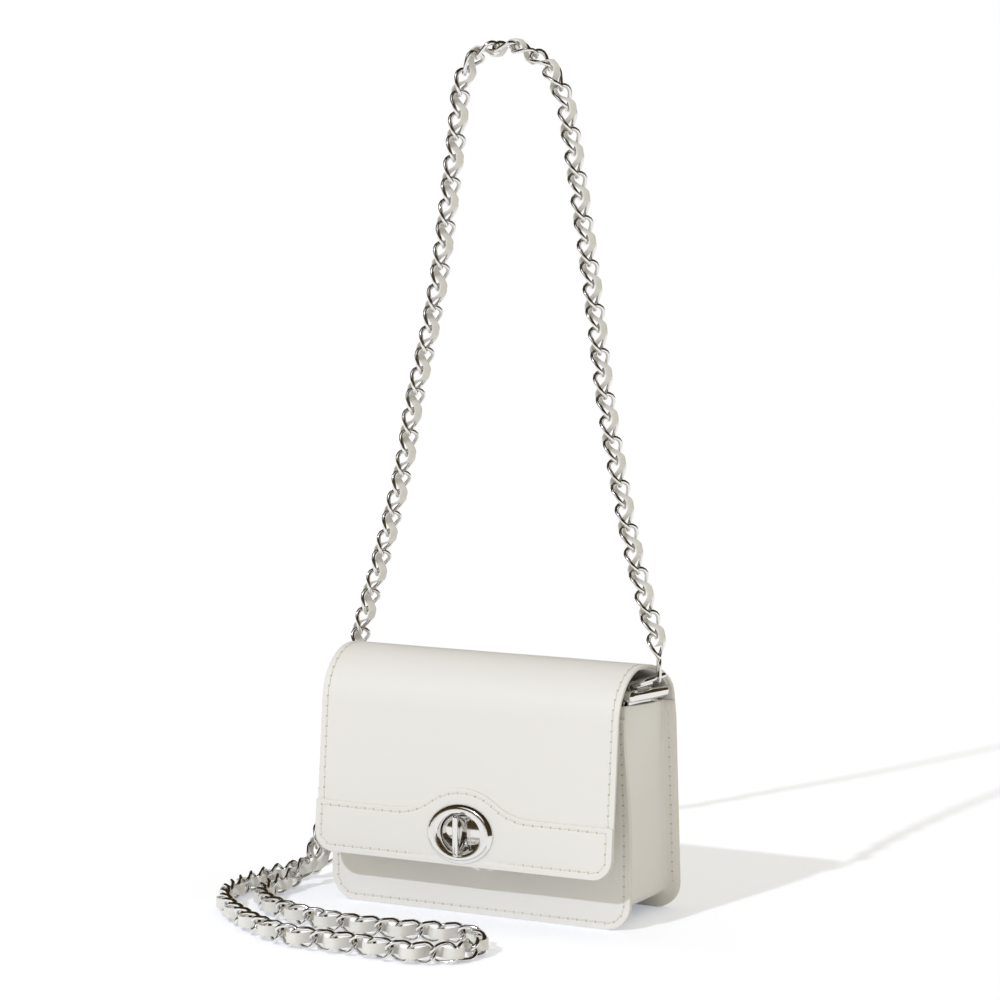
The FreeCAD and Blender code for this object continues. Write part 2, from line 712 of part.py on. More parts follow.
# Lock base, on the front panel
lock_middle = (ZERO, front_y, S["lock_height"])
base_plate = oval("BasePlate", S["base_half_width"], S["base_half_height"], S["base_thickness"],
                  lock_middle, FORWARD)
pedestal = oval("Pedestal", S["pedestal_half_width"], S["pedestal_half_height"], S["pedestal_reach"],
                lock_middle, FORWARD)
pedestal_room = rod("PedestalRoom", S["pedestal_bore"], S["pedestal_reach"] - S["pedestal_wall"],
                    lock_middle, FORWARD)
post_hole = rod("PostHole", S["post_radius"] + S["post_gap"], S["pedestal_reach"] * 2, lock_middle, FORWARD)
base_holes = rivet_holes("BaseHole", S["base_rivet_reach"], rivet_hole, washer_face, S["bag_depth"] / 2)
node("lock_base", boolean(
    "Cut", "LockBase", fuse("BaseBlank", base_plate, pedestal),
    fuse("BaseCuts", pedestal_room, post_hole, *base_holes)))

washer_blank = oval("WasherBlank", S["base_half_width"], S["base_half_height"], S["washer_thickness"],
                    (ZERO, washer_face, S["lock_height"]), FORWARD)
node("lock_back_washer", boolean("Cut", "BackWasher", washer_blank, fuse("WasherCuts", *rivet_holes(
    "WasherHole", S["base_rivet_reach"], rivet_hole, washer_face, S["washer_thickness"]))))

base_rivet_length = S["base_thickness"] + S["panel_leather"] + S["board_thickness"] + S["washer_thickness"]
base_rivets = doc.addObject("Part::Compound", "BaseRivets")
base_rivets.Links = rivet_holes(
    "BaseRivet", S["base_rivet_reach"], S["rivet_radius"], washer_face, base_rivet_length)
node("lock_base_rivets", base_rivets)

# Turn knob: a finned head on a round post, held by a spring washer and a riveted retainer
ridge_y = front_y - S["knob_reach"]
head_y = ridge_y + S["knob_head"]
foot_y = front_y - S["pedestal_reach"] - S["fit_gap"]
top_z, neck_top = S["lock_height"] + S["knob_half_length"], S["lock_height"] + S["knob_neck_half_length"]
low_z, neck_low = S["lock_height"] - S["knob_half_length"], S["lock_height"] - S["knob_neck_half_length"]
fin = slab("KnobFin", "YZ_Plane", [
    (ridge_y, low_z, S["knob_round"]), (head_y, low_z, None), (head_y, neck_low, None),
    (foot_y, neck_low, None), (foot_y, neck_top, None), (head_y, neck_top, None),
    (head_y, top_z, None), (ridge_y, top_z, S["knob_round"])], S["knob_thickness"], middle=True)
flank_depth = (S["knob_thickness"] - S["knob_waist"]) / 2
flank_chord = (foot_y - ridge_y) / 2
flank_radius = (flank_chord * flank_chord + flank_depth * flank_depth) / (flank_depth * 2)
scoops = [
    rod(f"KnobScoop{side}", flank_radius, S["knob_half_length"] * 2,
        ((S["knob_waist"] / 2 + flank_radius) * sign, ridge_y + flank_chord * SCOOP_PLACE_SHARE, low_z))
    for side, sign in (("Left", -1), ("Right", 1))]
retainer_y = front_y - (S["pedestal_reach"] - S["pedestal_wall"] - S["spring_thickness"] - S["fit_gap"] * 2)
post_end = retainer_y + S["retainer_thickness"]
post = rod("KnobPost", S["post_radius"], post_end - foot_y + S["knob_neck_half_length"] / 2,
           (ZERO, post_end, S["lock_height"]), FORWARD)
node("lock_knob", fuse("LockKnob", boolean("Cut", "KnobScooped", fin, fuse("KnobScoops", *scoops)), post))

retainer_blank = rod("RetainerBlank", S["retainer_radius"], S["retainer_thickness"],
                     (ZERO, post_end, S["lock_height"]), FORWARD)
retainer_hole = rod("RetainerHole", S["post_radius"], S["retainer_thickness"],
                    (ZERO, post_end, S["lock_height"]), FORWARD)
node("knob_retainer", boolean("Cut", "KnobRetainer", retainer_blank, retainer_hole))

spring_y = retainer_y - S["fit_gap"]
spring_blank = rod("SpringBlank", S["spring_radius"], S["spring_thickness"],
                   (ZERO, spring_y, S["lock_height"]), FORWARD)
spring_hole = rod("SpringHole", S["post_radius"] + S["fit_gap"], S["spring_thickness"],
                  (ZERO, spring_y, S["lock_height"]), FORWARD)
node("lock_spring", boolean("Cut", "LockSpring", spring_blank, spring_hole))

# Clips over the gusset's top edges, each with a knuckle for a ring
gusset_back = back_y - S["panel_leather"] / S["back_lean"].cos() - S["gusset_height"] * S["back_lean"].tan()
clip_middle = (inner_face + gusset_back) / 2
clip_length = gusset_back - inner_face - S["clip_end_gap"] * 2
screw_spread = clip_length / 2 - S["screw_end"]
web_middle = web_half - S["gusset_leather"] / 2
ring_z = S["gusset_height"] + S["clip_wall"] + S["knuckle_radius"]
slot_width = S["gusset_leather"] + S["ring_gap"]


def clip(side, sign):
    """A channel on the gusset's top edge with a bored knuckle along it."""
    middle = web_middle * sign
    channel = add(
        "Part::Box", f"Channel{side}", Length=S["clip_width"], Width=clip_length,
        Height=S["clip_drop"] + S["clip_wall"], Base_x=middle - S["clip_width"] / 2,
        Base_y=clip_middle - clip_length / 2, Base_z=S["gusset_height"] - S["clip_drop"])
    slot = add(
        "Part::Box", f"ChannelSlot{side}", Length=slot_width, Width=clip_length, Height=S["clip_drop"],
        Base_x=middle - slot_width / 2, Base_y=clip_middle - clip_length / 2,
        Base_z=S["gusset_height"] - S["clip_drop"])
    barrel_start = (middle, clip_middle + S["knuckle_length"] / 2, ring_z)
    barrel = rod(f"Knuckle{side}", S["knuckle_radius"], S["knuckle_length"], barrel_start, FORWARD)
    bore = rod(
        f"KnuckleBore{side}", S["ring_wire"] + S["ring_gap"], S["knuckle_length"], barrel_start, FORWARD)
    foot = add(
        "Part::Box", f"KnuckleFoot{side}", Length=S["knuckle_radius"], Width=S["knuckle_length"],
        Height=S["knuckle_radius"], Base_x=middle - S["knuckle_radius"] / 2,
        Base_y=clip_middle - S["knuckle_length"] / 2, Base_z=S["gusset_height"] + S["clip_wall"])
    holes = [
        rod(f"ClipHole{side}{end}", S["screw_radius"], S["clip_width"] * 2,
            (middle - S["clip_width"], clip_middle + screw_spread * way, screw_z), Rotation(Y_AXIS, 90))
        for end, way in (("Front", -1), ("Back", 1))]
    blank = fuse(f"ClipBlank{side}", channel, barrel, foot)
    return boolean("Cut", f"Clip{side}", blank, fuse(f"ClipCuts{side}", slot, bore, *holes))


screw_z = S["gusset_height"] - S["clip_drop"] / 2


def clip_screw(side, sign, end, way):
    """A pan-headed screw along X through a clip and the gusset web."""
    outward = Rotation(Y_AXIS, 90 * sign)
    place_y = clip_middle + screw_spread * way
    middle = web_middle * sign
    shank_start = (middle - S["clip_width"] / 2 * sign, place_y, screw_z)
    head_start = (middle + S["clip_width"] / 2 * sign, place_y, screw_z)
    shank = rod(
        f"ScrewShank{side}{end}", S["screw_radius"] - S["rivet_gap"], S["clip_width"], shank_start, outward)
    head = rod(f"ScrewHead{side}{end}", S["screw_head_radius"], S["screw_head"], head_start, outward)
    return fuse(f"Screw{side}{end}", shank, head)


def ring_shape(sign):
    """A ring of round wire: a straight bar in the knuckle and a rounded bow, tilted outwards."""
    half, rise, bend = (S[name].value for name in ("ring_half_length", "ring_rise", "ring_bend"))
    low = S["ring_wire"].value * 2
    corners = [(-half, 0, low), (half, 0, low), (half, rise, bend), (-half, rise, bend)]
    edges = []
    joints = []
    for index, (y, z, radius) in enumerate(corners):
        corner = Vector(0, y, z)
        before, after = (Vector(0, *corners[(index + step) % 4][:2]) for step in (-1, 1))
        start = corner + (before - corner).normalize() * radius
        end = corner + (after - corner).normalize() * radius
        edges.append(arc_to(start, end, start + end - corner, radius))
        joints.append((start, end))
    edges += [Part.makeLine(joints[i][1], joints[(i + 1) % 4][0]) for i in range(4)]
    path = Part.Wire(Part.__sortEdges__(edges))
    section = Part.Wire(Part.makeCircle(S["ring_wire"].value, Vector(), Y_AXIS))
    ring = path.makePipeShell([section], True, False)
    ring.Placement = Placement(
        Vector(web_middle.value * sign, clip_middle.value, ring_z.value),
        Rotation(Y_AXIS, S["ring_tilt"].value * sign))
    return ring


gusset_holes = []
for side, sign in (("Left", -1), ("Right", 1)):
    node(f"gusset_clip_{side.lower()}", clip(side, sign))
    screws = doc.addObject("Part::Compound", f"ClipScrews{side}")
    screws.Links = [clip_screw(side, sign, end, way) for end, way in (("Front", -1), ("Back", 1))]
    node(f"clip_screws_{side.lower()}", screws)
    node(f"d_ring_{side.lower()}", shaped(f"Ring{side}", ring_shape(sign)))
    gusset_holes += [
        rod(f"GussetHole{side}{end}", S["screw_radius"], S["clip_width"] * 2,
            (web_middle * sign - S["clip_width"], clip_middle + screw_spread * way, screw_z),
            Rotation(Y_AXIS, 90))
        for end, way in (("Front", -1), ("Back", 1))]
node("gusset", boolean("Cut", "Gusset", gusset_sewn, fuse("GussetHoles", *gusset_holes)))


class Chain:
    """One stretch of the strap: its curve, the frame carried along it, links and ribbon."""

    def __init__(self, route):
        poles = [Vector(*point) for point in route]
        knots = list(range(len(poles) - 1))
        counts = [3] + [1] * (len(knots) - 2) + [3]
        self.curve = Part.BSplineCurve()
        self.curve.buildFromPolesMultsKnots(poles, counts, knots, False, 2)
        self.edge = self.curve.toShape()
        self.length = self.edge.Length
        pitch = S["link_inner_length"].value - S["link_play"].value
        self.count = round(self.length / pitch)
        self.pitch = self.length / self.count
        self.steps = self.count * FRAME_STEPS_PER_LINK
        places = [
            self.edge.getParameterByLength(self.length * step / self.steps) for step in range(self.steps)
        ] + [self.edge.LastParameter]
        self.points = [self.curve.value(place) for place in places]
        self.tangents = [self.curve.tangent(place)[0] for place in places]
        self.across = [None] * (self.steps + 1)

    def carry(self, start, direction):
        """Carry the ribbon's width direction along the curve, both ways from a step."""
        for way in (1, -1):
            current = direction
            step = start
            while 0 <= step <= self.steps:
                tangent = self.tangents[step]
                current = current - tangent * current.dot(tangent)
                current.normalize()
                self.across[step] = current
                step += way

    def twist_start(self, direction, share):
        """Turn the first share of the curve so that it starts with a given width direction."""
        tangent, first = self.tangents[0], self.across[0]
        offset = math.degrees(math.atan2(first.cross(direction).dot(tangent), first.dot(direction)))
        offset = (offset + 90) % 180 - 90
        reach = share * self.steps
        for step in range(int(reach)):
            turn = Rotation(self.tangents[step], offset * (1 - step / reach))
            self.across[step] = turn.multVec(self.across[step])

    def frame(self, place):
        """Point, tangent, width direction and face direction at a place in pitches."""
        step = min(max(round(place * FRAME_STEPS_PER_LINK), 0), self.steps)
        tangent, across = self.tangents[step], self.across[step]
        return self.points[step], tangent, across, tangent.cross(across)

    def tightest(self):
        """Smallest radius of the curve at its carried points."""
        turns = [a.getAngle(b) for a, b in zip(self.tangents, self.tangents[1:])]
        return self.length / self.steps / max(turns)

    def link_at(self, place, roll):
        """A link centred at a place, its plane rolled from the ribbon's width."""
        point, tangent, across, _ = self.frame(place)
        side = Rotation(tangent, roll).multVec(across)
        return LINK.transformed(frame_matrix(point, tangent, side), True)

    def links(self, places, phase):
        """Links at the given places, rolled to alternate sides."""
        roll = S["link_roll"].value
        return Part.makeCompound([self.link_at(p, roll if (p + phase) % 2 else -roll) for p in places])

    def ribbon(self, first, last, phase):
        """The leather ribbon, swinging to alternate sides of the joints between links."""
        sections = []
        for place in range(first, last + 1):
            sections.append(self.ribbon_section(place, 0))
            if place < last:
                swing = S["ribbon_swing"].value * (1 if (place + phase) % 2 else -1)
                for share in (RIBBON_TURN_SHARE, 1 - RIBBON_TURN_SHARE):
                    sections.append(self.ribbon_section(place + share, swing))
        faces = [Part.Face(Part.makePolygon(ring + ring[:1])) for ring in (sections[0], sections[-1])]
        for near, far in zip(sections, sections[1:]):
            for index in range(len(near)):
                edges = [Part.makeLine(ring[index - 1], ring[index]) for ring in (near, far)]
                faces.append(Part.makeRuledSurface(*edges))
        shell = Part.makeShell(faces)
        shell.sewShape()
        return Part.makeSolid(shell)

    def ribbon_section(self, place, swing):
        """Corners of a rectangle across the ribbon, moved off the chain's middle line."""
        point, _, across, face = self.frame(place)
        centre = point + face * swing
        wide, thick = S["ribbon_width"].value / 2, S["ribbon_thickness"].value / 2
        return [centre + across * (wide * a) + face * (thick * b)
                for a, b in ((-1, -1), (1, -1), (1, 1), (-1, 1))]


def frame_matrix(point, tangent, side):
    """Matrix that carries local X, Y and Z to a tangent, a side and their normal."""
    normal = tangent.cross(side)
    return Matrix(tangent.x, side.x, normal.x, point.x,
                  tangent.y, side.y, normal.y, point.y,
                  tangent.z, side.z, normal.z, point.z, 0, 0, 0, 1)


def link_solid(wire):
    """An oval link of round wire in the XY plane, long along X."""
    radius = S["link_inner_width"].value / 2 + wire
    straight = S["link_inner_length"].value / 2 + wire - radius
    corners = [Vector(x * straight, y * radius, 0) for x, y in ((-1, -1), (1, -1), (1, 1), (-1, 1))]
    edges = [
        Part.makeLine(corners[0], corners[1]),
        Part.Arc(corners[1], Vector(straight + radius, 0, 0), corners[2]).toShape(),
        Part.makeLine(corners[2], corners[3]),
        Part.Arc(corners[3], Vector(-straight - radius, 0, 0), corners[0]).toShape(),
    ]
    section = Part.Wire(Part.makeCircle(wire, corners[0], X_AXIS))
    return Part.Wire(edges).makePipeShell([section], True, False)


def end_link(chain, place, turn):
    """The bare link that joins a strap end to its ring, turned clear of the flap's edge."""
    point, tangent, _, _ = chain.frame(place)
    side = Rotation(tangent, turn.value).multVec(Y_AXIS.cross(tangent).normalize())
    return END_LINK.transformed(frame_matrix(point, tangent, side), True)


def end_place(sign, shift, next_point):
    """Centre of an end link that hangs in a ring's bow and points to the route's next point."""
    turn = Rotation(Y_AXIS, S["ring_tilt"].value * sign)
    pivot = Vector(web_middle.value * sign, clip_middle.value + shift.value, ring_z.value)
    bow = pivot + turn.multVec(Z_AXIS * S["ring_rise"].value)
    way = (Vector(*next_point) - bow).normalize()
    reach = S["link_inner_length"] / 2 - S["ring_wire"] - S["end_link_seat"]
    return tuple(bow + way * reach.value)


# Strap
LINK = link_solid(S["link_wire"].value)
END_LINK = link_solid(S["end_link_wire"].value)
right_end = end_place(1, S["right_link_shift"], ARCH_ROUTE[0])
left_end = end_place(-1, S["left_link_shift"], SLACK_ROUTE[-1])
arch = Chain([right_end] + ARCH_ROUTE)
arch.carry(0, Rotation(Z_AXIS, S["arch_face_turn"].value).multVec(X_AXIS))
slack = Chain(SLACK_ROUTE + [left_end])
slack.carry(slack.steps // 2, Z_AXIS)
slack.twist_start(arch.across[-1], SLACK_TWIST_SHARE)

node("strap_end_link_right", shaped("EndLinkRight", end_link(arch, 0, S["right_link_turn"])))
node("strap_arch_links", shaped("ArchLinks", arch.links(range(1, arch.count), 1)))
node("strap_arch_ribbon", shaped("ArchRibbon", arch.ribbon(1, arch.count - 1, 1)))
node("strap_slack_links", shaped("SlackLinks", slack.links(range(0, slack.count), arch.count + 1)))
node("strap_slack_ribbon", shaped("SlackRibbon", slack.ribbon(0, slack.count - 1, arch.count + 1)))
node("strap_end_link_left", shaped("EndLinkLeft", end_link(slack, slack.count, S["left_link_turn"])))

doc.recompute()
for obj in doc.Objects:
    if "Invalid" in obj.State or "Error" in obj.State:
        raise RuntimeError(f"{obj.Name} failed: {obj.State}")
for label, obj in NODES.items():
    if obj.Shape.isNull() or not obj.Shape.isValid() or obj.Shape.Volume <= 0:
        raise RuntimeError(f"{label} has no valid solid")

os.makedirs("parts", exist_ok=True)
for label, obj in NODES.items():
    obj.Shape.exportStep(f"parts/{label}.step")
    box = obj.Shape.BoundBox
    print(f"{label}: {len(obj.Shape.Solids)} solids, {obj.Shape.Volume:.1f} mm3, "
          f"x {box.XMin:.2f} {box.XMax:.2f} y {box.YMin:.2f} {box.YMax:.2f} z {box.ZMin:.2f} {box.ZMax:.2f}")
for name, chain in (("raised stretch", arch), ("slack", slack)):
    print(f"{name}: {chain.length:.1f} mm, {chain.count} pitches of {chain.pitch:.3f} mm, "
          f"tightest radius {chain.tightest():.1f} mm")
print(f"flap hinge {curve.hinge}, ring pivot x {web_middle.value:.3f} "
      f"y {clip_middle.value:.3f} z {ring_z.value:.3f}")
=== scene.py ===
"""White chain shoulder bag, dressed over its solid frame.

Sizes in the classes are millimetres in the bag's own frame: X to the right of someone who faces the
front, Y to the back, Z up. Each mesh is scaled to metres when it is finished.
"""
from __future__ import annotations

import json
import logging
import math
from collections.abc import Callable, Iterable, Sequence
from dataclasses import dataclass, field
from enum import Enum

import bmesh
import bpy
from mathutils import Matrix, Vector, noise

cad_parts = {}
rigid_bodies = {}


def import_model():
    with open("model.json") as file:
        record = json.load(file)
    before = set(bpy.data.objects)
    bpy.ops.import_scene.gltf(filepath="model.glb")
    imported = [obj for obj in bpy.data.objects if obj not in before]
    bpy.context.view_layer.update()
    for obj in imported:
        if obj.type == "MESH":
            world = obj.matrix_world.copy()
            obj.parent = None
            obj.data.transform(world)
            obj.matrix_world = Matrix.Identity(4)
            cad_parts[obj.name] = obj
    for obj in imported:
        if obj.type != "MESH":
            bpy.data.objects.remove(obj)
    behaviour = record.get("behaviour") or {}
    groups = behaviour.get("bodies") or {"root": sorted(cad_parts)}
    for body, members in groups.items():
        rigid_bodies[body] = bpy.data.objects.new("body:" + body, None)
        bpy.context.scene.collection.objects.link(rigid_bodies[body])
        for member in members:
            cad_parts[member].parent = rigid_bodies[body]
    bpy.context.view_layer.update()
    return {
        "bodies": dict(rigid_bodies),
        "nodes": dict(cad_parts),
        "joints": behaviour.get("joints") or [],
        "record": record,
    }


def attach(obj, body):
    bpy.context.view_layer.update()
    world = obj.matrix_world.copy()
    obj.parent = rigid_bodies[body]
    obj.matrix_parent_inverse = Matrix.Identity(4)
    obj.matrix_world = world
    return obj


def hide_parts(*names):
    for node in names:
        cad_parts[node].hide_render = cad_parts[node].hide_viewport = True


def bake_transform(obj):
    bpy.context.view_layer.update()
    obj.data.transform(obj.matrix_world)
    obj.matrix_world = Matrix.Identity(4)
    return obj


LOG = logging.getLogger("chain_bag")
MM = 0.001
THREAD_SINK = 0.12
RIM_ANGLE = 60.0

Flat = tuple[float, float]
Triple = tuple[float, float, float]
Row = list[Flat]
Surface = Callable[[float, float, float], Vector]
Verts = list[bmesh.types.BMVert]
Edges = list[bmesh.types.BMEdge]
Draft = bmesh.types.BMesh
Piece = bpy.types.Object
Socket = bpy.types.NodeSocket


class Side(Enum):
    """Side of the bag, as the sign of X."""

    LEFT = -1
    RIGHT = 1


class Body(str, Enum):
    """Moving bodies that pieces ride on."""

    BAG = "bag"
    FLAP = "flap"
    KNOB = "knob"
    STRAP = "strap"


class Shader:
    """Node tree of a material or a world, with short calls that add and link nodes."""

    def __init__(self, owner: bpy.types.Material | bpy.types.World) -> None:
        """Start on the nodes of a material or a world.

        Args:
            owner: Material or world.
        """
        owner.use_nodes = True
        self.tree = owner.node_tree
        self.surface = self.tree.nodes.get("Principled BSDF")

    def fill(self, node: bpy.types.Node, settings: dict[str, object]) -> None:
        """Set or link a node's sockets, and set its properties.

        Args:
            node: Node to fill in.
            settings: Constants or outputs by the socket's name, with _ for a space, or by the property's.
        """
        for key, value in settings.items():
            socket = node.inputs.get(key.replace("_", " "))
            if socket is None:
                setattr(node, key, value)
            elif isinstance(value, Socket):
                self.tree.links.new(value, socket)
            else:
                socket.default_value = value

    def add(self, kind: str, **settings: object) -> bpy.types.Node:
        """Add a node.

        Args:
            kind: Blender's name of the node type, after ShaderNode.
            settings: What fill takes.

        Returns:
            The new node.
        """
        made = self.tree.nodes.new("ShaderNode" + kind)
        self.fill(made, settings)
        return made

    def set(self, **settings: object) -> None:
        """Set or link sockets of the material's surface."""
        self.fill(self.surface, settings)

    def pair(self, kind: str, operation: str, first: Socket, second: object) -> bpy.types.Node:
        """Add a node that reckons with two values.

        Args:
            kind: Math or VectorMath.
            operation: What it does.
            first: First value.
            second: Second value, an output or a constant.

        Returns:
            The new node.
        """
        made = self.add(kind, operation=operation)
        self.tree.links.new(first, made.inputs[0])
        if isinstance(second, Socket):
            self.tree.links.new(second, made.inputs[1])
        else:
            made.inputs[1].default_value = second
        return made

    def ramp(self, source: Socket, stops: Sequence[tuple[float, Sequence[float]]]) -> Socket:
        """Pick colours by a pattern.

        Args:
            source: Pattern.
            stops: Places on the ramp and their colours.

        Returns:
            Output with the colour.
        """
        made = self.add("ValToRGB", Fac=source)
        elements = made.color_ramp.elements
        while len(elements) < len(stops):
            elements.new(0.5)
        for element, (spot, colour) in zip(elements, stops):
            element.position = spot
            element.color = (*colour, 1.0)
        return made.outputs["Color"]

    def spread(self, source: Socket, low: float, high: float) -> Socket:
        """Map the middle of a pattern to a range of values."""
        scale = self.add("MapRange", Value=source, From_Min=0.3, From_Max=0.7, To_Min=low, To_Max=high)
        return scale.outputs["Result"]

    def bump(self, *layers: tuple[Socket, float, float]) -> None:
        """Chain bumps into the surface's normal.

        Args:
            layers: Pattern, strength and depth in metres of each bump.
        """
        normal: dict[str, Socket] = {}
        for source, strength, depth in layers:
            made = self.add("Bump", Height=source, Strength=strength, Distance=depth, **normal)
            normal = {"Normal": made.outputs["Normal"]}
        self.set(**normal)


@dataclass(frozen=True)
class Finish:
    """Finish for a material slot, between two colours."""

    name: str
    slot: str
    colour: Triple
    shade: Triple

    def material(self) -> bpy.types.Material:
        """Make the material, or find the one made before.

        Returns:
            The material.
        """
        if self.name not in bpy.data.materials:
            shader = Shader(bpy.data.materials.new(self.name))
            self.paint(shader, shader.add("TexCoord").outputs["Object"])
        return bpy.data.materials[self.name]

    def paint(self, shader: Shader, place: Socket) -> None:
        """Add the finish's own nodes."""
        raise NotImplementedError

    def tone(self, shader: Shader, source: Socket, start: float, end: float) -> None:
        """Colour the surface from shade to colour by a pattern."""
        shader.set(Base_Color=shader.ramp(source, ((start, self.shade), (end, self.colour))))


@dataclass(frozen=True)
class Leather(Finish):
    """Smooth finished leather: clouded colour, fine pores and a low sheen."""

    gloss: Flat = (0.36, 0.46)

    def paint(self, shader: Shader, place: Socket) -> None:
        """Add clouds, pores and creases.

        Args:
            shader: Material's nodes.
            place: Object coordinates.
        """
        cloud = shader.add("TexNoise", Vector=place, Scale=34.0, Detail=4.0, Roughness=0.55).outputs[0]
        pores = shader.add("TexVoronoi", Vector=place, Scale=1500.0).outputs["Distance"]
        creases = shader.add("TexNoise", Vector=place, Scale=260.0, Detail=5.0, Roughness=0.6).outputs[0]
        self.tone(shader, cloud, 0.30, 0.66)
        shader.set(Roughness=shader.spread(creases, *self.gloss), Specular_IOR_Level=0.42)
        shader.bump((pores, 0.10, 0.00005), (creases, 0.10, 0.00010))


@dataclass(frozen=True)
class Thread(Finish):
    """Twisted sewing thread, its twist's crowns painted lighter and its grooves painted darker: painted
    highlight and shade.
    """

    def paint(self, shader: Shader, place: Socket) -> None:
        """Add the thread's twist as bumps, and as painted highlight and shade along it.

        Args:
            shader: Material's nodes.
            place: Object coordinates.
        """
        twist = shader.add("TexWave", Vector=place, Scale=900.0, Distortion=1.5, bands_direction="DIAGONAL")
        # Painted light: lighter crowns and darker grooves along the twist.
        self.tone(shader, twist.outputs["Fac"], 0.1, 0.8)
        shader.bump((twist.outputs["Fac"], 0.3, 0.0001))
        shader.set(Roughness=0.62)


@dataclass(frozen=True)
class Metal(Finish):
    """Plated metal with faint handling marks."""

    gloss: Flat

    def paint(self, shader: Shader, place: Socket) -> None:
        """Add haze and marks.

        Args:
            shader: Material's nodes.
            place: Object coordinates.
        """
        haze = shader.add("TexNoise", Vector=place, Scale=180.0, Detail=4.0).outputs[0]
        marks = shader.add("TexNoise", Vector=place, Scale=1400.0, Detail=2.0).outputs[0]
        self.tone(shader, haze, 0.35, 0.65)
        shader.set(Roughness=shader.spread(marks, *self.gloss), Metallic=1.0)


@dataclass(frozen=True)
class Cloth(Finish):
    """Plain woven lining cloth."""

    def paint(self, shader: Shader, place: Socket) -> None:
        """Add the weave.

        Args:
            shader: Material's nodes.
            place: Object coordinates.
        """
        ways = [shader.add("TexWave", Vector=place, Scale=260.0, Distortion=0.6, bands_direction=way)
                for way in ("DIAGONAL", "Z")]
        weave = shader.pair("Math", "MULTIPLY", *(way.outputs["Fac"] for way in ways)).outputs[0]
        self.tone(shader, weave, 0.1, 0.7)
        shader.bump((weave, 0.35, 0.0002))
        shader.set(Roughness=0.86, Sheen_Weight=0.15)


@dataclass(frozen=True)
class Board(Finish):
    """Pressed fibre board."""

    def paint(self, shader: Shader, place: Socket) -> None:
        """Add the fibres.

        Args:
            shader: Material's nodes.
            place: Object coordinates.
        """
        fibre = shader.add("TexNoise", Vector=place, Scale=420.0, Detail=6.0, Distortion=1.2).outputs[0]
        self.tone(shader, fibre, 0.3, 0.7)
        shader.bump((fibre, 0.3, 0.0001))
        shader.set(Roughness=0.88)


WHITE = Leather("white_leather", "white_leather", (0.805, 0.815, 0.80), (0.78, 0.785, 0.77))
# Same white leather as the bag, painted lighter than WHITE as painted light, to make up for the shade that
# falls on it between the links.
RIBBON_PAINTED_LIGHTER = Leather("ribbon_leather_painted_light", "white_leather", (0.87, 0.865, 0.84), (0.82, 0.81, 0.78), (0.40, 0.52))
EDGE = Leather("edge_paint", "white_leather", (0.80, 0.775, 0.72), (0.75, 0.72, 0.65), (0.34, 0.42))
INNER = Leather("flap_lining_leather", "flap_lining_leather", (0.78, 0.76, 0.72), (0.73, 0.71, 0.67),
                (0.55, 0.66))
# Cream thread; its darker colour is painted shade in the twist's grooves.
THREAD = Thread("seam_thread", "white_leather", (0.82, 0.80, 0.74), (0.76, 0.73, 0.65))
# Dark colour of the needle holes: painted shade where the thread sinks into the leather.
NEEDLE_HOLE_SHADE = Leather("needle_hole_painted_shade", "white_leather", (0.58, 0.50, 0.35), (0.46, 0.38, 0.24), (0.7, 0.8))
NICKEL = Metal("bright_nickel", "bright_nickel", (0.85, 0.80, 0.715), (0.79, 0.74, 0.655), (0.04, 0.09))
STEEL = Metal("spring_steel", "spring_steel", (0.58, 0.58, 0.59), (0.50, 0.50, 0.51), (0.28, 0.38))
CLOTH = Cloth("lining_cloth", "lining_cloth", (0.76, 0.73, 0.68), (0.60, 0.57, 0.52))
STIFFENER = Board("stiffener", "stiffener", (0.66, 0.62, 0.56), (0.56, 0.52, 0.46))
NODE_FINISHES = {finish.slot: finish for finish in (WHITE, INNER, CLOTH, STIFFENER, NICKEL, STEEL)}


def bake(bm: Draft, name: str) -> bpy.types.Mesh:
    """Turn a mesh under work into mesh data.

    Args:
        bm: Mesh, which is freed.
        name: Name of the data.

    Returns:
        The data.
    """
    mesh = bpy.data.meshes.new(name)
    bm.to_mesh(mesh)
    bm.free()
    return mesh


def finish_piece(bm: Draft, name: str, finishes: Sequence[Finish],
                 sharp: float = 40.0) -> Piece:
    """Turn a mesh in millimetres into a piece in metres.

    Args:
        bm: Mesh, which is freed.
        name: Name of the piece.
        finishes: Finishes in the order of the faces' material numbers.
        sharp: Angle in degrees past which an edge is shaded sharp.

    Returns:
        The new object, at the origin.
    """
    bmesh.ops.scale(bm, vec=(MM, MM, MM), verts=bm.verts[:])
    mesh = bake(bm, name)
    mesh.shade_smooth()
    mesh.set_sharp_from_angle(angle=math.radians(sharp))
    for finish in finishes:
        mesh.materials.append(finish.material())
    piece = bpy.data.objects.new(name, mesh)
    bpy.context.scene.collection.objects.link(piece)
    return piece


def read_mesh(holder: Piece) -> bpy.types.Mesh:
    """Mesh that an object gives with its modifiers."""
    graph = bpy.context.evaluated_depsgraph_get()
    return bpy.data.meshes.new_from_object(holder.evaluated_get(graph), depsgraph=graph)


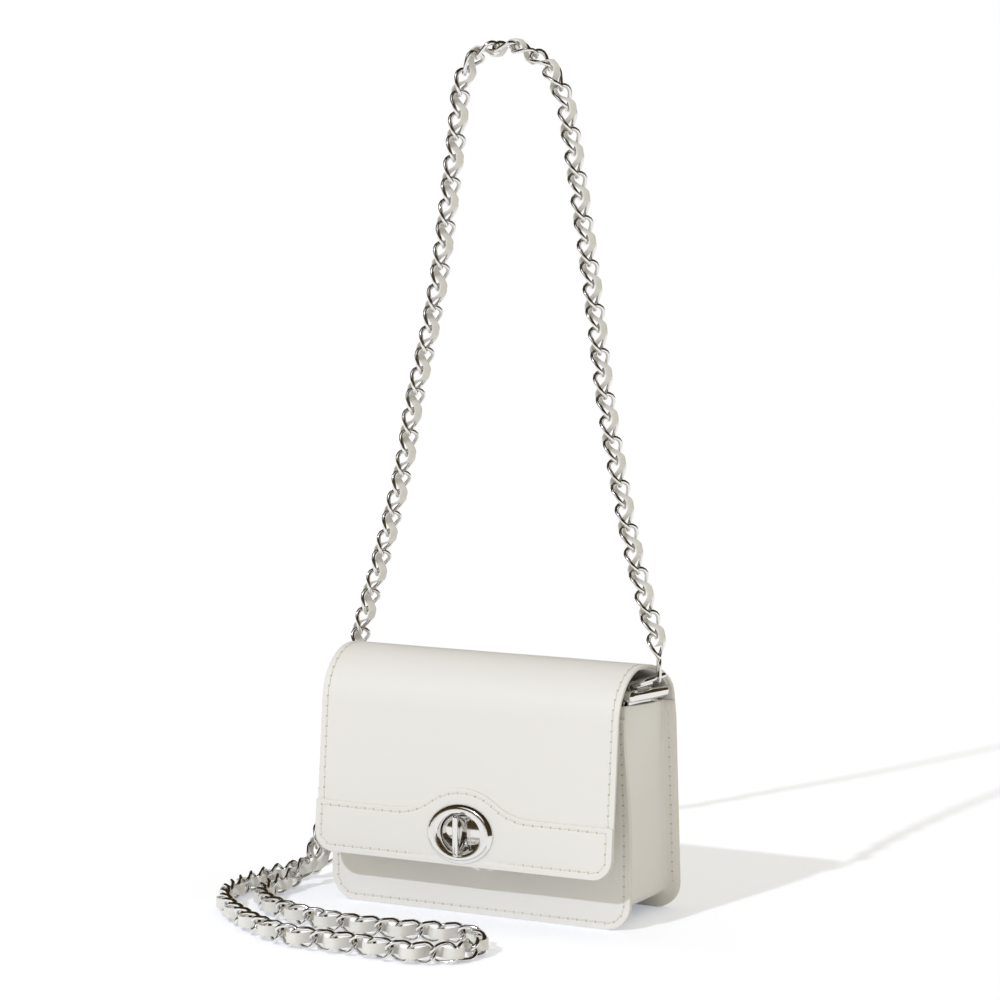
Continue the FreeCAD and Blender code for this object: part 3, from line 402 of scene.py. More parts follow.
def thicken(piece: Piece, wall: float, rim: float = 0.0, segments: int = 2,
            hole: Piece | None = None, even: bool = False) -> None:
    """Give a sheet its wall inward, round its rim and cut a hole in it.

    Args:
        piece: Sheet.
        wall: Thickness.
        rim: Radius of the rim's edges, or zero.
        segments: Faces round a rim's edge.
        hole: Cutter, which is deleted.
        even: Whether the wall keeps its thickness round bends.
    """
    solid = piece.modifiers.new("wall", "SOLIDIFY")
    solid.thickness = wall * MM
    solid.offset = -1.0
    solid.use_even_offset = even
    solid.material_offset_rim = len(piece.data.materials) - 1
    if rim:
        bevel = piece.modifiers.new("rim", "BEVEL")
        bevel.width = rim * MM
        bevel.segments = segments
        bevel.limit_method = "ANGLE"
        bevel.angle_limit = math.radians(RIM_ANGLE)
    if hole:
        opening = piece.modifiers.new("hole", "BOOLEAN")
        opening.object = hole
        opening.solver = "EXACT"
    old, piece.data = piece.data, read_mesh(piece)
    piece.modifiers.clear()
    bpy.data.meshes.remove(old)
    piece.data.name = piece.name
    if hole:
        bpy.data.objects.remove(hole)


def seat(piece: Piece, body: Body, *nodes: str) -> None:
    """Let a piece ride on a body and stand for CAD nodes, and report it.

    Args:
        piece: Piece.
        body: Body that it rides on.
        nodes: CAD nodes that it stands for.
    """
    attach(piece, body.value)
    if nodes:
        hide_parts(*nodes)
    LOG.info("%s on %s, %d faces", piece.name, body.value, len(piece.data.polygons))


def verts_of(geom: Iterable[object]) -> Verts:
    """Points among mesh elements."""
    return [part for part in geom if isinstance(part, bmesh.types.BMVert)]


def edges_of(geom: Iterable[object]) -> Edges:
    """Edges among mesh elements."""
    return [part for part in geom if isinstance(part, bmesh.types.BMEdge)]


def edges_at(verts: Verts) -> Edges:
    """Edges that meet points, each once."""
    return list({edge for vert in verts for edge in vert.link_edges})


def push(bm: Draft, edges: Edges, step: Sequence[float]) -> Edges:
    """Extrude edges by a step.

    Args:
        bm: Mesh.
        edges: Edges to extrude.
        step: Way and length.

    Returns:
        The new edges.
    """
    made = bmesh.ops.extrude_edge_only(bm, edges=edges)["geom"]
    bmesh.ops.translate(bm, vec=step, verts=verts_of(made))
    return edges_of(made)


def spun(bm: Draft, edges: Edges, centre: Triple, axis: Triple, angle: float, steps: int) -> Edges:
    """Spin edges about an axis.

    Args:
        bm: Mesh.
        edges: Edges to spin.
        centre: Point on the axis.
        axis: Direction of the axis.
        angle: Angle in radians.
        steps: Faces along the turn.

    Returns:
        The last edges.
    """
    verts = list({vert for edge in edges for vert in edge.verts})
    made = bmesh.ops.spin(bm, geom=verts + edges, cent=centre, axis=axis, dvec=(0.0, 0.0, 0.0), angle=angle,
                          steps=steps, use_merge=False, use_duplicate=False)
    return edges_of(made["geom_last"])


def slice_at(bm: Draft, axis: int, places: Sequence[float], near: float = 0.0) -> None:
    """Cut a mesh across an axis.

    Args:
        bm: Mesh.
        axis: Number of the axis.
        places: Places of the cuts on it.
        near: Distance within which a point counts as on a cut.
    """
    way = Vector((0.0, 0.0, 0.0))
    way[axis] = 1.0
    for place in places:
        whole = bm.verts[:] + bm.edges[:] + bm.faces[:]
        bmesh.ops.bisect_plane(bm, geom=whole, dist=near, plane_co=way * place, plane_no=way)


def close(bm: Draft, *loops: Edges) -> None:
    """Cap loops of edges and turn all faces outward.

    Args:
        bm: Mesh.
        loops: Loops to cap.
    """
    for loop in loops:
        bmesh.ops.contextual_create(bm, geom=loop)
    bmesh.ops.recalc_face_normals(bm, faces=bm.faces[:])


def look(bm: Draft, spot: Sequence[float], way: Sequence[float]) -> None:
    """Turn an open mesh's faces so that the one nearest to a spot looks a given way.

    Args:
        bm: Mesh.
        spot: Place near the face.
        way: Direction that it should look in.
    """
    bm.normal_update()
    face = min(bm.faces, key=lambda face: (face.calc_center_median() - Vector(spot)).length)
    if face.normal.dot(Vector(way)) < 0.0:
        bmesh.ops.reverse_faces(bm, faces=bm.faces[:])


def frame_at(point: Vector, along: Vector, across: Vector, out: Vector) -> Matrix:
    """Frame at a point with three directions as its axes."""
    return Matrix.Translation(point) @ Matrix((along, across, out)).transposed().to_4x4()


def stamp(bm: Draft, mesh: bpy.types.Mesh, frame: Matrix) -> None:
    """Add a copy of a mesh.

    Args:
        bm: Mesh to add to.
        mesh: Mesh data to copy.
        frame: Where it goes.
    """
    first = len(bm.verts)
    bm.from_mesh(mesh)
    bm.verts.ensure_lookup_table()
    bmesh.ops.transform(bm, matrix=frame, verts=bm.verts[first:])


def rings(bm: Draft, loops: Sequence[Triple], segments: int, square: float = 2.0) -> tuple[Edges, Edges]:
    """Extrude one oval loop through a row of sizes and depths.

    Args:
        bm: Mesh to add to.
        loops: Half width, half height and depth of each loop.
        segments: Points in a loop.
        square: Exponent of the oval; 2 is an ellipse and more is nearer to a rectangle.

    Returns:
        The first and the last loop's edges.
    """
    start = bmesh.ops.create_circle(bm, cap_ends=False, segments=segments, radius=1.0)["verts"]
    angles = {vert: math.atan2(vert.co.y, vert.co.x) for vert in start}
    edges = first = edges_at(start)
    for number, (wide, high, depth) in enumerate(loops):
        if number:
            made = bmesh.ops.extrude_edge_only(bm, edges=edges)["geom"]
            edges = edges_of(made)
            angles = {vert: angles[edge.other_vert(vert)] for vert in verts_of(made)
                      for edge in vert.link_edges if edge.other_vert(vert) in angles}
        for vert, angle in angles.items():
            parts = (math.cos(angle), math.sin(angle))
            c, s = (math.copysign(abs(part) ** (2.0 / square), part) for part in parts)
            vert.co = (wide * c, high * s, depth)
    return first, edges


def clamp(value: float) -> float:
    """Value kept between zero and one."""
    return max(0.0, min(1.0, value))


def ease(value: float, low: float, high: float) -> float:
    """Smooth share of the way from one value to another."""
    share = clamp((value - low) / (high - low))
    return share * share * (3.0 - 2.0 * share)


def spaced(start: float, end: float, step: float) -> list[float]:
    """Even places between two values, without the two ends."""
    count = max(2, round(abs(end - start) / step))
    return [start + (end - start) * number / count for number in range(1, count)]


def rounded_line(corners: Sequence[Triple], step: float = 0.6) -> Row:
    """Line through corners, each rounded by its radius.

    Args:
        corners: Places and radii; a radius of zero keeps the corner.
        step: Length between points on the rounded corners.

    Returns:
        Points of the line.
    """
    points: Row = []
    for index, (u, v, radius) in enumerate(corners):
        here = Vector((u, v))
        if radius == 0 or index in (0, len(corners) - 1):
            points.append((u, v))
            continue
        before, after = ((Vector(corners[index + way][:2]) - here).normalized() for way in (-1, 1))
        half = math.acos(max(-1.0, min(1.0, before.dot(after)))) / 2
        reach = radius / math.tan(half)
        centre = here + (before + after).normalized() * (radius / math.sin(half))
        start, end = here + before * reach - centre, here + after * reach - centre
        turn = math.pi - 2 * half
        count = max(2, round(radius * turn / step))
        for share in (number / count for number in range(count + 1)):
            spoke = start * math.sin((1 - share) * turn) + end * math.sin(share * turn)
            points.append(tuple(centre + spoke / math.sin(turn)))
    return points


def seam_round(side: float, start: float, low: float, turn: float) -> Row:
    """Seam down one side, round the lower corners and up the other side."""
    return rounded_line([(-side, start, 0), (-side, low, turn), (side, low, turn), (side, start, 0)])


def off_line(point: Flat, line: Row) -> float:
    """Find how far a point is from a line.

    Args:
        point: Point.
        line: Points of the line.

    Returns:
        The distance.
    """
    best = math.inf
    for first, last in zip(line, line[1:]):
        away, span = Vector(point) - Vector(first), Vector(last) - Vector(first)
        share = clamp(away.dot(span) / max(span.length_squared, 1e-9))
        best = min(best, (away - span * share).length)
    return best


@dataclass
class LeatherSheet:
    """A piece of leather that is cut flat, sewn, and bent onto a surface."""

    name: str
    corners: list[Triple]
    surface: Surface
    thickness: float
    lift: float = 0.0
    cuts_u: list[float] = field(default_factory=list)
    cuts_v: list[float] = field(default_factory=list)
    rings: tuple[float, ...] = (1.2, 1.2, 0.5, 0.5, 0.5, 0.5, 1.4)
    seams: list[Row] = field(default_factory=list)
    groove_depth: float = 0.22
    groove_half: float = 0.75
    wave: float = 0.10
    wave_length: float = 26.0
    flip: bool = False
    edge_round: float = 0.5
    finishes: tuple[Finish, ...] = (WHITE, EDGE)
    bulge: Callable[[float, float], float] | None = None

    def cut(self) -> Draft:
        """Cut the outline with its rounded corners, the rings beside its edge, and its cross cuts.

        Returns:
            The flat piece.
        """
        bm = bmesh.new()
        verts = [bm.verts.new((u, v, 0.0)) for u, v, _ in self.corners]
        bm.faces.new(verts)
        for vert, (_, _, radius) in zip(verts, self.corners):
            if radius:
                bmesh.ops.bevel(bm, geom=[vert], offset=radius, offset_type="OFFSET", segments=10,
                                profile=0.5, affect="VERTICES", material=-1)
        middle = bm.faces[:]
        for step in self.rings:
            bmesh.ops.inset_region(bm, faces=middle, thickness=step, use_even_offset=True, use_boundary=True)
        for axis, places in enumerate((self.cuts_u, self.cuts_v)):
            slice_at(bm, axis, places, 0.05)
        return bm

    def relief(self, u: float, v: float) -> float:
        """Find the leather's height over its surface: grooves under the seams and a soft wave.

        Args:
            u: First flat measure.
            v: Second flat measure.

        Returns:
            The height.
        """
        spot = Vector((u / self.wave_length, v / self.wave_length, self.thickness))
        height = self.lift + self.wave * noise.noise(spot)
        if self.bulge is not None:
            height += self.bulge(u, v)
        for seam in self.seams:
            away = off_line((u, v), seam) / self.groove_half
            if away < 3.0:
                height -= self.groove_depth * math.exp(-away * away)
        return height

    def build(self, hole: Piece | None = None) -> Piece:
        """Bend the piece, give it its thickness, round its edges and cut its hole.

        Args:
            hole: Cutter, which is deleted.

        Returns:
            The finished piece, riding on nothing yet.
        """
        bm = self.cut()
        for vert in bm.verts:
            u, v, _ = vert.co
            vert.co = self.surface(u, v, self.relief(u, v))
        bm.normal_update()
        if self.flip:
            bmesh.ops.reverse_faces(bm, faces=bm.faces[:])
        piece = finish_piece(bm, self.name, self.finishes)
        thicken(piece, self.thickness, self.edge_round, 3, hole, even=True)
        piece.data.set_sharp_from_angle(angle=math.radians(50))
        return piece


@dataclass
class Stitching:
    """Rows of sewn thread: a thread bead for each stitch and a dark disc of painted shade at each end,
    standing for the needle hole.
    """

    pitch: float = 4.8
    bead_size: Triple = (3.7, 0.62, 0.50)
    # Size of each needle hole's disc of painted shade.
    hole: Flat = (0.46, 0.22)
    hole_shade_lift: float = 0.06
    slant: float = 7.0
    feel: float = 0.4

    def walk(self, row: Row) -> list[tuple[Flat, Flat]]:
        """Space stitches evenly along a row.

        Args:
            row: Points of the row.

        Returns:
            Place and direction of each stitch.
        """
        runs = [(Vector(b) - Vector(a)).length for a, b in zip(row, row[1:])]
        count = max(1, round(sum(runs) / self.pitch))
        step = sum(runs) / count
        found: list[tuple[Flat, Flat]] = []
        target, gone = step / 2, 0.0
        for first, last, run in zip(row, row[1:], runs):
            while target <= gone + run and len(found) < count:
                spot = Vector(first).lerp(Vector(last), (target - gone) / run)
                found.append((tuple(spot), tuple((Vector(last) - Vector(first)) / run)))
                target += step
            gone += run
        return found

    def bead(self) -> bpy.types.Mesh:
        """Make one thread bead along X with a disc of painted shade for the needle hole at each end.

        Returns:
            The bead in millimetres.
        """
        bm = bmesh.new()
        turn = Matrix.Rotation(math.pi / 2, 4, "Y")
        bmesh.ops.create_uvsphere(bm, u_segments=6, v_segments=5, radius=0.5, matrix=turn)
        bmesh.ops.scale(bm, vec=self.bead_size, verts=bm.verts[:])
        # Flat dark discs just over the leather: painted shade of the needle holes.
        for end in (-1, 1):
            made = bmesh.ops.create_circle(bm, cap_ends=True, segments=8, radius=1.0)["verts"]
            bmesh.ops.scale(bm, vec=(*self.hole, 1.0), verts=made)
            bmesh.ops.translate(bm, vec=(end * self.pitch / 2, 0.0, self.hole_shade_lift), verts=made)
            for face in {face for vert in made for face in vert.link_faces}:
                face.material_index = 1
        return bake(bm, "stitch_bead")

    def sew(self, name: str, rows: Sequence[Row], surface: Surface, lift: float, body: Body) -> None:
        """Sew rows onto a surface, as one piece.

        Args:
            name: Name of the piece.
            rows: Rows of points in the surface's flat measures.
            surface: Surface that the rows lie on.
            lift: Height of the thread's middle over the surface.
            body: Body that the stitches ride on.
        """
        bead = self.bead()
        bm = bmesh.new()
        tilt = Matrix.Rotation(math.radians(self.slant), 4, "Z")
        for (u, v), (du, dv) in (stitch for row in rows for stitch in self.walk(row)):
            middle = surface(u, v, lift)
            before, after = (surface(u + du * feel, v + dv * feel, lift) for feel in (-self.feel, self.feel))
            along = (after - before).normalized()
            out = (surface(u, v, lift + 1.0) - middle).normalized()
            stamp(bm, bead, frame_at(middle, along, out.cross(along).normalized(), out) @ tilt)
        bpy.data.meshes.remove(bead)
        seat(finish_piece(bm, name, (THREAD, NEEDLE_HOLE_SHADE), 80.0), body)


@dataclass
class FlapCurve:
    """Side line of the back panel and the flap, by developed length from the back's lower edge."""

    back_y: float = 40.55
    hinge: float = 106.0
    radii: Triple = (10.0, 51.4, 26.0)
    angles: tuple[float, float, float, float] = (4.0, 52.3, 90.0, 174.9)

    def __post_init__(self) -> None:
        """Work out the arcs' centres and the lengths at which they end."""
        self.foot = Vector((0.0, self.back_y, 0.0))
        top = self.foot + self.along(self.angles[0]) * self.hinge
        self.centres = [top - self.out(self.angles[0]) * self.radii[0]]
        for angle, before, after in zip(self.angles[1:], self.radii, self.radii[1:]):
            self.centres.append(self.centres[-1] + self.out(angle) * (before - after))
        self.ends = [self.hinge]
        for radius, first, last in zip(self.radii, self.angles, self.angles[1:]):
            self.ends.append(self.ends[-1] + radius * math.radians(last - first))
        self.front_top = self.centres[-1] + self.out(self.angles[-1]) * self.radii[-1]

    @staticmethod
    def out(angle: float) -> Vector:
        """Outward direction at an angle from the back, over the top."""
        return Vector((0.0, math.cos(math.radians(angle)), math.sin(math.radians(angle))))

    @staticmethod
    def along(angle: float) -> Vector:
        """Direction of the run at an angle from the back, over the top."""
        out = FlapCurve.out(angle)
        return Vector((0.0, -out.z, out.y))

    def surface(self, x: float, run: float, lift: float) -> Vector:
        """Find a point over the outer face.

        Args:
            x: Place across the bag.
            run: Developed length from the back's lower edge.
            lift: Height over the outer face.

        Returns:
            The point.
        """
        part = sum(run > end for end in self.ends) - 1
        if 0 <= part < len(self.radii):
            angle = self.angles[part] + math.degrees((run - self.ends[part]) / self.radii[part])
            base = self.centres[part] + self.out(angle) * self.radii[part]
        elif part < 0:
            angle = self.angles[0]
            base = self.foot + self.along(angle) * run
        else:
            angle = self.angles[-1]
            base = self.front_top + self.along(angle) * (run - self.ends[-1])
        return base + self.out(angle) * lift + Vector((x, 0.0, 0.0))

    def front_run(self, height: float) -> float:
        """Developed length at a height of the straight front."""
        return self.ends[-1] + (self.front_top.z - height) / math.cos(math.radians(180.0 - self.angles[-1]))

    def lock_frame(self, height: float, depth: float) -> Matrix:
        """Frame on the front at a height and depth, with Y up the flap and Z outward."""
        up, out = -self.along(self.angles[-1]), self.out(self.angles[-1])
        return frame_at(self.surface(0.0, self.front_run(height), depth), Vector((1.0, 0.0, 0.0)), up, out)


@dataclass
class Flap:
    """Back panel and flap in one leather, the flap's lining, and the overlay with its waved top."""

    curve: FlapCurve
    stitching: Stitching
    back_half: float = 80.0
    back_foot: float = 0.2
    back_corner: float = 12.8
    half: float = 79.0
    bottom: float = 27.4
    corner: float = 10.0
    leather: float = 1.6
    taper: Flat = (-12.0, 6.0)
    cuts_half: float = 72.0
    cuts_step: float = 6.0
    back_margin: float = 6.0
    back_step: float = 7.0
    bend_margin: float = 4.0
    bend_step: float = 1.5
    front_step: float = 5.0
    rim_margin: float = 8.0
    lining: float = 0.8
    lining_inset: float = 1.8
    lining_start: float = 112.5
    lining_gap: float = 0.05
    lining_margin: float = 2.0
    lining_step: float = 8.0
    overlay: float = 1.4
    overlay_half: float = 79.1
    overlay_drop: float = 0.2
    overlay_step: float = 4.0
    overlay_side: float = 51.7
    overlay_peak: float = 63.4
    bell_half: float = 36.0
    bell_steps: int = 8
    seam_inset: float = 3.2
    back_seam_end: float = 8.0
    flap_seam_start: float = 11.0
    flap_seam_end: float = 0.8
    top_seam_inset: float = 2.3
    lock_height: float = 42.2
    lock_hole_half: Flat = (12.3, 10.6)
    lock_hole_reach: float = 8.0
    swell: float = 0.55
    swell_wide: float = 22.0
    swell_high: float = 7.0
    swell_above: float = 2.5

    def lock_hole(self) -> Piece:
        """Make an elliptical cutter through the flap at the lock.

        Returns:
            The cutter.
        """
        bm = bmesh.new()
        made = bmesh.ops.create_circle(bm, cap_ends=True, segments=64, radius=1.0)["verts"]
        bmesh.ops.scale(bm, vec=(*self.lock_hole_half, 1.0), verts=made)
        top = verts_of(bmesh.ops.extrude_face_region(bm, geom=bm.faces[:])["geom"])
        bmesh.ops.translate(bm, vec=(0.0, 0.0, self.lock_hole_reach * 2), verts=top)
        close(bm)
        frame = self.curve.lock_frame(self.lock_height, -self.lock_hole_reach)
        bmesh.ops.transform(bm, matrix=frame, verts=bm.verts[:])
        return finish_piece(bm, "lock_cutter", (WHITE,))

    def sheet(self, name: str, outline: list[Triple], wall: float, **more: object) -> Piece:
        """Cut and bend one layer, with the lock's hole in it.

        Args:
            name: Name of the piece.
            outline: Its corners.
            wall: Its thickness.
            more: Other fields of the sheet.

        Returns:
            The layer.
        """
        cuts = spaced(-self.cuts_half, self.cuts_half, self.cuts_step)
        sheet = LeatherSheet(name, outline, self.curve.surface, wall, cuts_u=cuts, flip=True, **more)
        return sheet.build(self.lock_hole())

    def bell(self, inset: float) -> Row:
        """Draw the waved top of the overlay from left to right.

        Args:
            inset: Distance below the overlay's edge.

        Returns:
            Points of the line.
        """
        reach, rise = self.bell_half / 2, (self.overlay_peak - self.overlay_side) / 2
        radius = (reach ** 2 + rise ** 2) / (2 * rise)
        span, steps = math.asin(reach / radius), self.bell_steps
        foot, crown = radius + inset, radius - inset
        half = [(foot * math.sin(turn) - 2 * reach, self.overlay_side + radius - foot * math.cos(turn))
                for turn in (span * number / steps for number in range(steps + 1))]
        half += [(-crown * math.sin(turn), self.overlay_peak - radius + crown * math.cos(turn))
                 for turn in (span * (1 - number / steps) for number in range(1, steps + 1))]
        return [(x, self.curve.front_run(z)) for x, z in half + [(-x, z) for x, z in reversed(half[:-1])]]

    def build(self) -> None:
        """Build and sew the flap's layers."""
        curve, inset = self.curve, self.seam_inset
        hinge, low = curve.hinge, curve.front_run(self.bottom)
        bend, front = hinge - self.bend_margin, curve.ends[-1] + self.bend_margin
        arcs = spaced(bend, front, self.bend_step)
        side, side_run = self.half - inset, curve.front_run(self.overlay_side)
        back_end, flap_start = hinge - self.back_seam_end, hinge + self.flap_seam_start
        flap_row = seam_round(side, flap_start, low - inset, self.corner - inset)
        back_row = seam_round(self.back_half - inset, back_end, self.back_foot + inset,
                              self.back_corner - inset)
        right = [(self.back_half, self.back_foot, self.back_corner),
                 (self.back_half, hinge + self.taper[0], 0),
                 (self.half, hinge + self.taper[1], 0), (self.half, low, self.corner)]
        cuts = spaced(self.back_margin, bend, self.back_step) + arcs
        cuts += spaced(front, low - self.rim_margin, self.front_step)
        outline = right + [(-x, run, radius) for x, run, radius in reversed(right)]
        piece = self.sheet("flap_and_back_leather", outline, self.leather, cuts_v=cuts,
                           seams=[flap_row, back_row])
        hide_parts("flap_leather", "back_panel")
        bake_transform(piece)
        LOG.info("%s, %d faces", piece.name, len(piece.data.polygons))
        sides = [[(x, flap_start), (x, side_run - self.flap_seam_end)] for x in (-side, side)]
        self.stitching.sew("flap_stitches", sides, curve.surface, -THREAD_SINK, Body.FLAP)
        self.stitching.sew("back_stitches", [back_row], curve.surface, -THREAD_SINK, Body.BAG)
        inner = self.lining_start + self.lining_margin
        self.build_lining([cut for cut in arcs if cut > inner], front, low)
        self.build_overlay(side, side_run, low)

    def build_lining(self, arcs: list[float], front: float, run_low: float) -> None:
        """Build the thin leather inside the flap.

        Args:
            arcs: Cross cuts along the bent part.
            front: Developed length at which the straight front starts.
            run_low: Developed length at the flap's lower edge.
        """
        half, low = self.half - self.lining_inset, run_low - self.lining_inset
        turn = self.corner - self.lining_inset
        outline = [(-half, self.lining_start, 0), (half, self.lining_start, 0), (half, low, turn),
                   (-half, low, turn)]
        piece = self.sheet("flap_lining_sheet", outline, self.lining, lift=-self.leather - self.lining_gap,
                           cuts_v=arcs + spaced(front, low - self.rim_margin, self.lining_step),
                           rings=(1.5,), wave=0.0,
                           edge_round=0.25, finishes=(INNER, INNER))
        seat(piece, Body.FLAP, "flap_lining")

    def build_overlay(self, side: float, side_run: float, run_low: float) -> None:
        """Build and sew the overlay with its waved top.

        Args:
            side: Place of the seams at the sides.
            side_run: Developed length at its top edge beside the wave.
            run_low: Developed length at the flap's lower edge.
        """
        half, low, top = self.overlay_half, run_low + self.overlay_drop, side_run + self.top_seam_inset
        outline = [(half, low, self.corner), (-half, low, self.corner), (-half, side_run, 0)]
        outline += [(x, run, 0) for x, run in self.bell(0.0)] + [(half, side_run, 0)]
        rows = [seam_round(side, top, run_low - self.seam_inset, self.corner - self.seam_inset),
                [(-side, top), *self.bell(self.top_seam_inset), (side, top)]]
        piece = self.sheet("flap_overlay_leather", outline, self.overlay, lift=self.overlay,
                           cuts_v=spaced(self.curve.front_run(self.overlay_peak), run_low, self.overlay_step),
                           rings=(0.9, 0.9, 0.5, 0.5, 0.5, 0.6), seams=rows, wave=0.06, edge_round=0.45,
                           bulge=self.lock_bulge)
        seat(piece, Body.FLAP, "flap_overlay")
        lift = self.overlay - THREAD_SINK
        self.stitching.sew("overlay_stitches", rows, self.curve.surface, lift, Body.FLAP)

    def lock_bulge(self, x: float, run: float) -> float:
        """Swelling of the leather under the lock plate's lower edge."""
        away = run - self.curve.front_run(self.bottom + self.swell_above)
        return self.swell * math.exp(-(x / self.swell_wide) ** 2 - (away / self.swell_high) ** 2)


@dataclass
class BagBody:
    """Front panel, gusset, lining tub and the facings in the mouth."""

    stitching: Stitching
    half: float = 80.0
    height: float = 100.0
    corner: float = 12.8
    leather: float = 1.6
    front_y: float = -16.95
    back_y: float = 40.55
    lean: float = 4.0
    seam: float = 6.5
    gusset: float = 1.2
    gusset_top: float = 104.0
    gusset_rim: float = 0.35
    fold: float = 1.4
    bow: float = 1.3
    swell: float = 3.5
    swell_low: float = 55.0
    pinch: float = 0.55
    pinch_low: float = 40.0
    top_tilt: float = 4.0
    tilt_low: float = 84.0
    tilt_middle: float = 8.16
    seam_inset: float = 3.2
    seam_top: float = 2.0
    gusset_seam: Triple = (3.4, 1.0, 6.0)
    gusset_sink: float = 0.05
    gusset_side_cuts: int = 22
    gusset_bottom_cuts: int = 20
    gusset_corner_cuts: int = 10
    panel_margin: float = 6.0
    panel_step: float = 7.0
    lining_half: float = 71.7
    lining_low: float = 8.9
    lining_top: float = 95.0
    lining_front: float = -13.35
    lining_back: float = 36.3
    lining_round: float = 5.1
    lining_margin: float = 6.0
    lining_steps: Flat = (6.0, 8.0)
    cloth: float = 0.6
    facing: float = 0.5
    facing_inset: float = 0.6
    facings: tuple[tuple[str, tuple[Flat, ...]], ...] = (
        ("front_facing", ((-15.6, 99.2), (-15.6, 100.9), (-12.1, 100.9), (-12.1, 84.0))),
        ("back_facing", ((31.55, 103.2), (31.5, 104.9), (28.7, 104.9), (29.95, 86.0))))

    def __post_init__(self) -> None:
        """Work out the gusset's web and the slope of the back."""
        self.web = self.half - self.seam
        self.slope = math.tan(math.radians(self.lean))
        self.near = self.front_y + self.leather + self.gusset

    def front_surface(self, x: float, z: float, lift: float) -> Vector:
        """Point over the front panel's outer face."""
        return Vector((self.pinched(x, z), self.front_y - lift, z))

    def back_surface(self, x: float, z: float, lift: float) -> Vector:
        """Point over the gusset's back flange."""
        return Vector((x, self.back_face(z) - lift, z))

    def pinched(self, x: float, z: float) -> float:
        """Place across the bag with the seam's upper part drawn in towards the gusset."""
        over = max(0.0, abs(x) - self.web)
        return math.copysign(abs(x) - over * self.pinch * ease(z, self.pinch_low, self.height), x)

    def back_face(self, z: float) -> float:
        """Depth of the gusset's seen face on its back flange, at a height."""
        layers = (self.leather + self.gusset) / math.cos(math.radians(self.lean))
        return self.back_y - layers - z * self.slope

    def build(self) -> None:
        """Build the panel, the gusset, the lining and the facings."""
        side, turn = self.half - self.seam_inset, self.corner - self.seam_inset
        row = seam_round(side, self.height - self.seam_top, self.seam_inset, turn)
        wide, high = self.half - self.panel_margin, self.height - self.panel_margin
        outline = [(-self.half, 0.0, self.corner), (self.half, 0.0, self.corner), (self.half, self.height, 0),
                   (-self.half, self.height, 0)]
        panel = LeatherSheet("front_panel_leather", outline, self.front_surface, self.leather,
                             cuts_u=spaced(-wide, wide, self.panel_step),
                             cuts_v=spaced(self.panel_margin, high, self.panel_step), seams=[row])
        seat(panel.build(), Body.BAG, "front_panel")
        self.stitching.sew("front_stitches", [row], self.front_surface, -THREAD_SINK, Body.BAG)
        self.build_gusset()
        self.build_lining()
        for name, section in self.facings:
            self.build_facing(name, section)

    def build_facing(self, name: str, section: tuple[Flat, ...]) -> None:
        """Fold a strip of leather over a panel's top edge into the mouth.

        Args:
            name: Name of the piece.
            section: Depths and heights of its fold, from the panel to the lining.
        """
        bm = bmesh.new()
        half, steps = self.lining_half - self.facing_inset, 24
        line = rounded_line([(y, z, self.facing) for y, z in section], 0.3)
        verts = [bm.verts.new((-half, y, z)) for y, z in line]
        edges = [bm.edges.new(pair) for pair in zip(verts, verts[1:])]
        for _ in range(steps):
            edges = push(bm, edges, (half * 2 / steps, 0.0, 0.0))
        look(bm, (0.0, section[1][0], 1000.0), (0.0, 0.0, 1.0))
        piece = finish_piece(bm, name, (INNER,))
        thicken(piece, self.facing)
        seat(piece, Body.BAG)

    def gusset_profile(self) -> Row:
        """Draw the section of the gusset's seen face.

        Returns:
            Distances out from the web and depths.
        """
        near, far, fold = self.near, self.back_face(0.0), self.fold
        arc = [math.radians(angle) for angle in (0.0, 30.0, 60.0, 90.0)]
        points = [(self.seam, near), (self.seam / 2, near)]
        points += [(fold - fold * math.sin(a), near + fold - fold * math.cos(a)) for a in arc]
        points += [(0.0, y) for y in spaced(near + fold, far - fold, 5.0)]
        points += [(fold - fold * math.cos(a), far - fold + fold * math.sin(a)) for a in arc]
        return points + [(self.seam / 2, far), (self.seam, far)]

    def build_gusset(self) -> None:
        """Sweep the gusset's section down one side, along the bottom and up the other side."""
        turn_x = self.web - (self.corner - self.seam)
        bm = bmesh.new()
        verts = [bm.verts.new((-self.web - n, y, self.gusset_top)) for n, y in self.gusset_profile()]
        edges = [bm.edges.new(pair) for pair in zip(verts, verts[1:])]
        tall, cuts = self.gusset_top - self.corner, self.gusset_side_cuts
        for way, run, count in (((0, 0, -1), tall, cuts), ((1, 0, 0), turn_x * 2, self.gusset_bottom_cuts),
                                ((0, 0, 1), tall, cuts)):
            for _ in range(count):
                edges = push(bm, edges, Vector(way) * (run / count))
            if way[2] < 1:
                centre = (turn_x if way[0] else -turn_x, 0.0, self.corner)
                edges = spun(bm, edges, centre, (0.0, 1.0, 0.0), -math.pi / 2, self.gusset_corner_cuts)
        depth = self.back_face(0.0) - self.near
        for vert in bm.verts:
            self.shape(vert, (vert.co.y - self.near) / depth)
        look(bm, (-self.web, self.tilt_middle, 60.0), (-1.0, 0.0, 0.0))
        piece = finish_piece(bm, "gusset_leather", (WHITE, EDGE))
        thicken(piece, self.gusset, self.gusset_rim)
        seat(piece, Body.BAG, "gusset")
        out, foot, head = self.gusset_seam
        rows = [[(x, self.corner + foot), (x, self.gusset_top - head)]
                for x in (-self.web - out, self.web + out)]
        self.stitching.sew("gusset_stitches", rows, self.back_surface, -self.gusset_sink, Body.BAG)

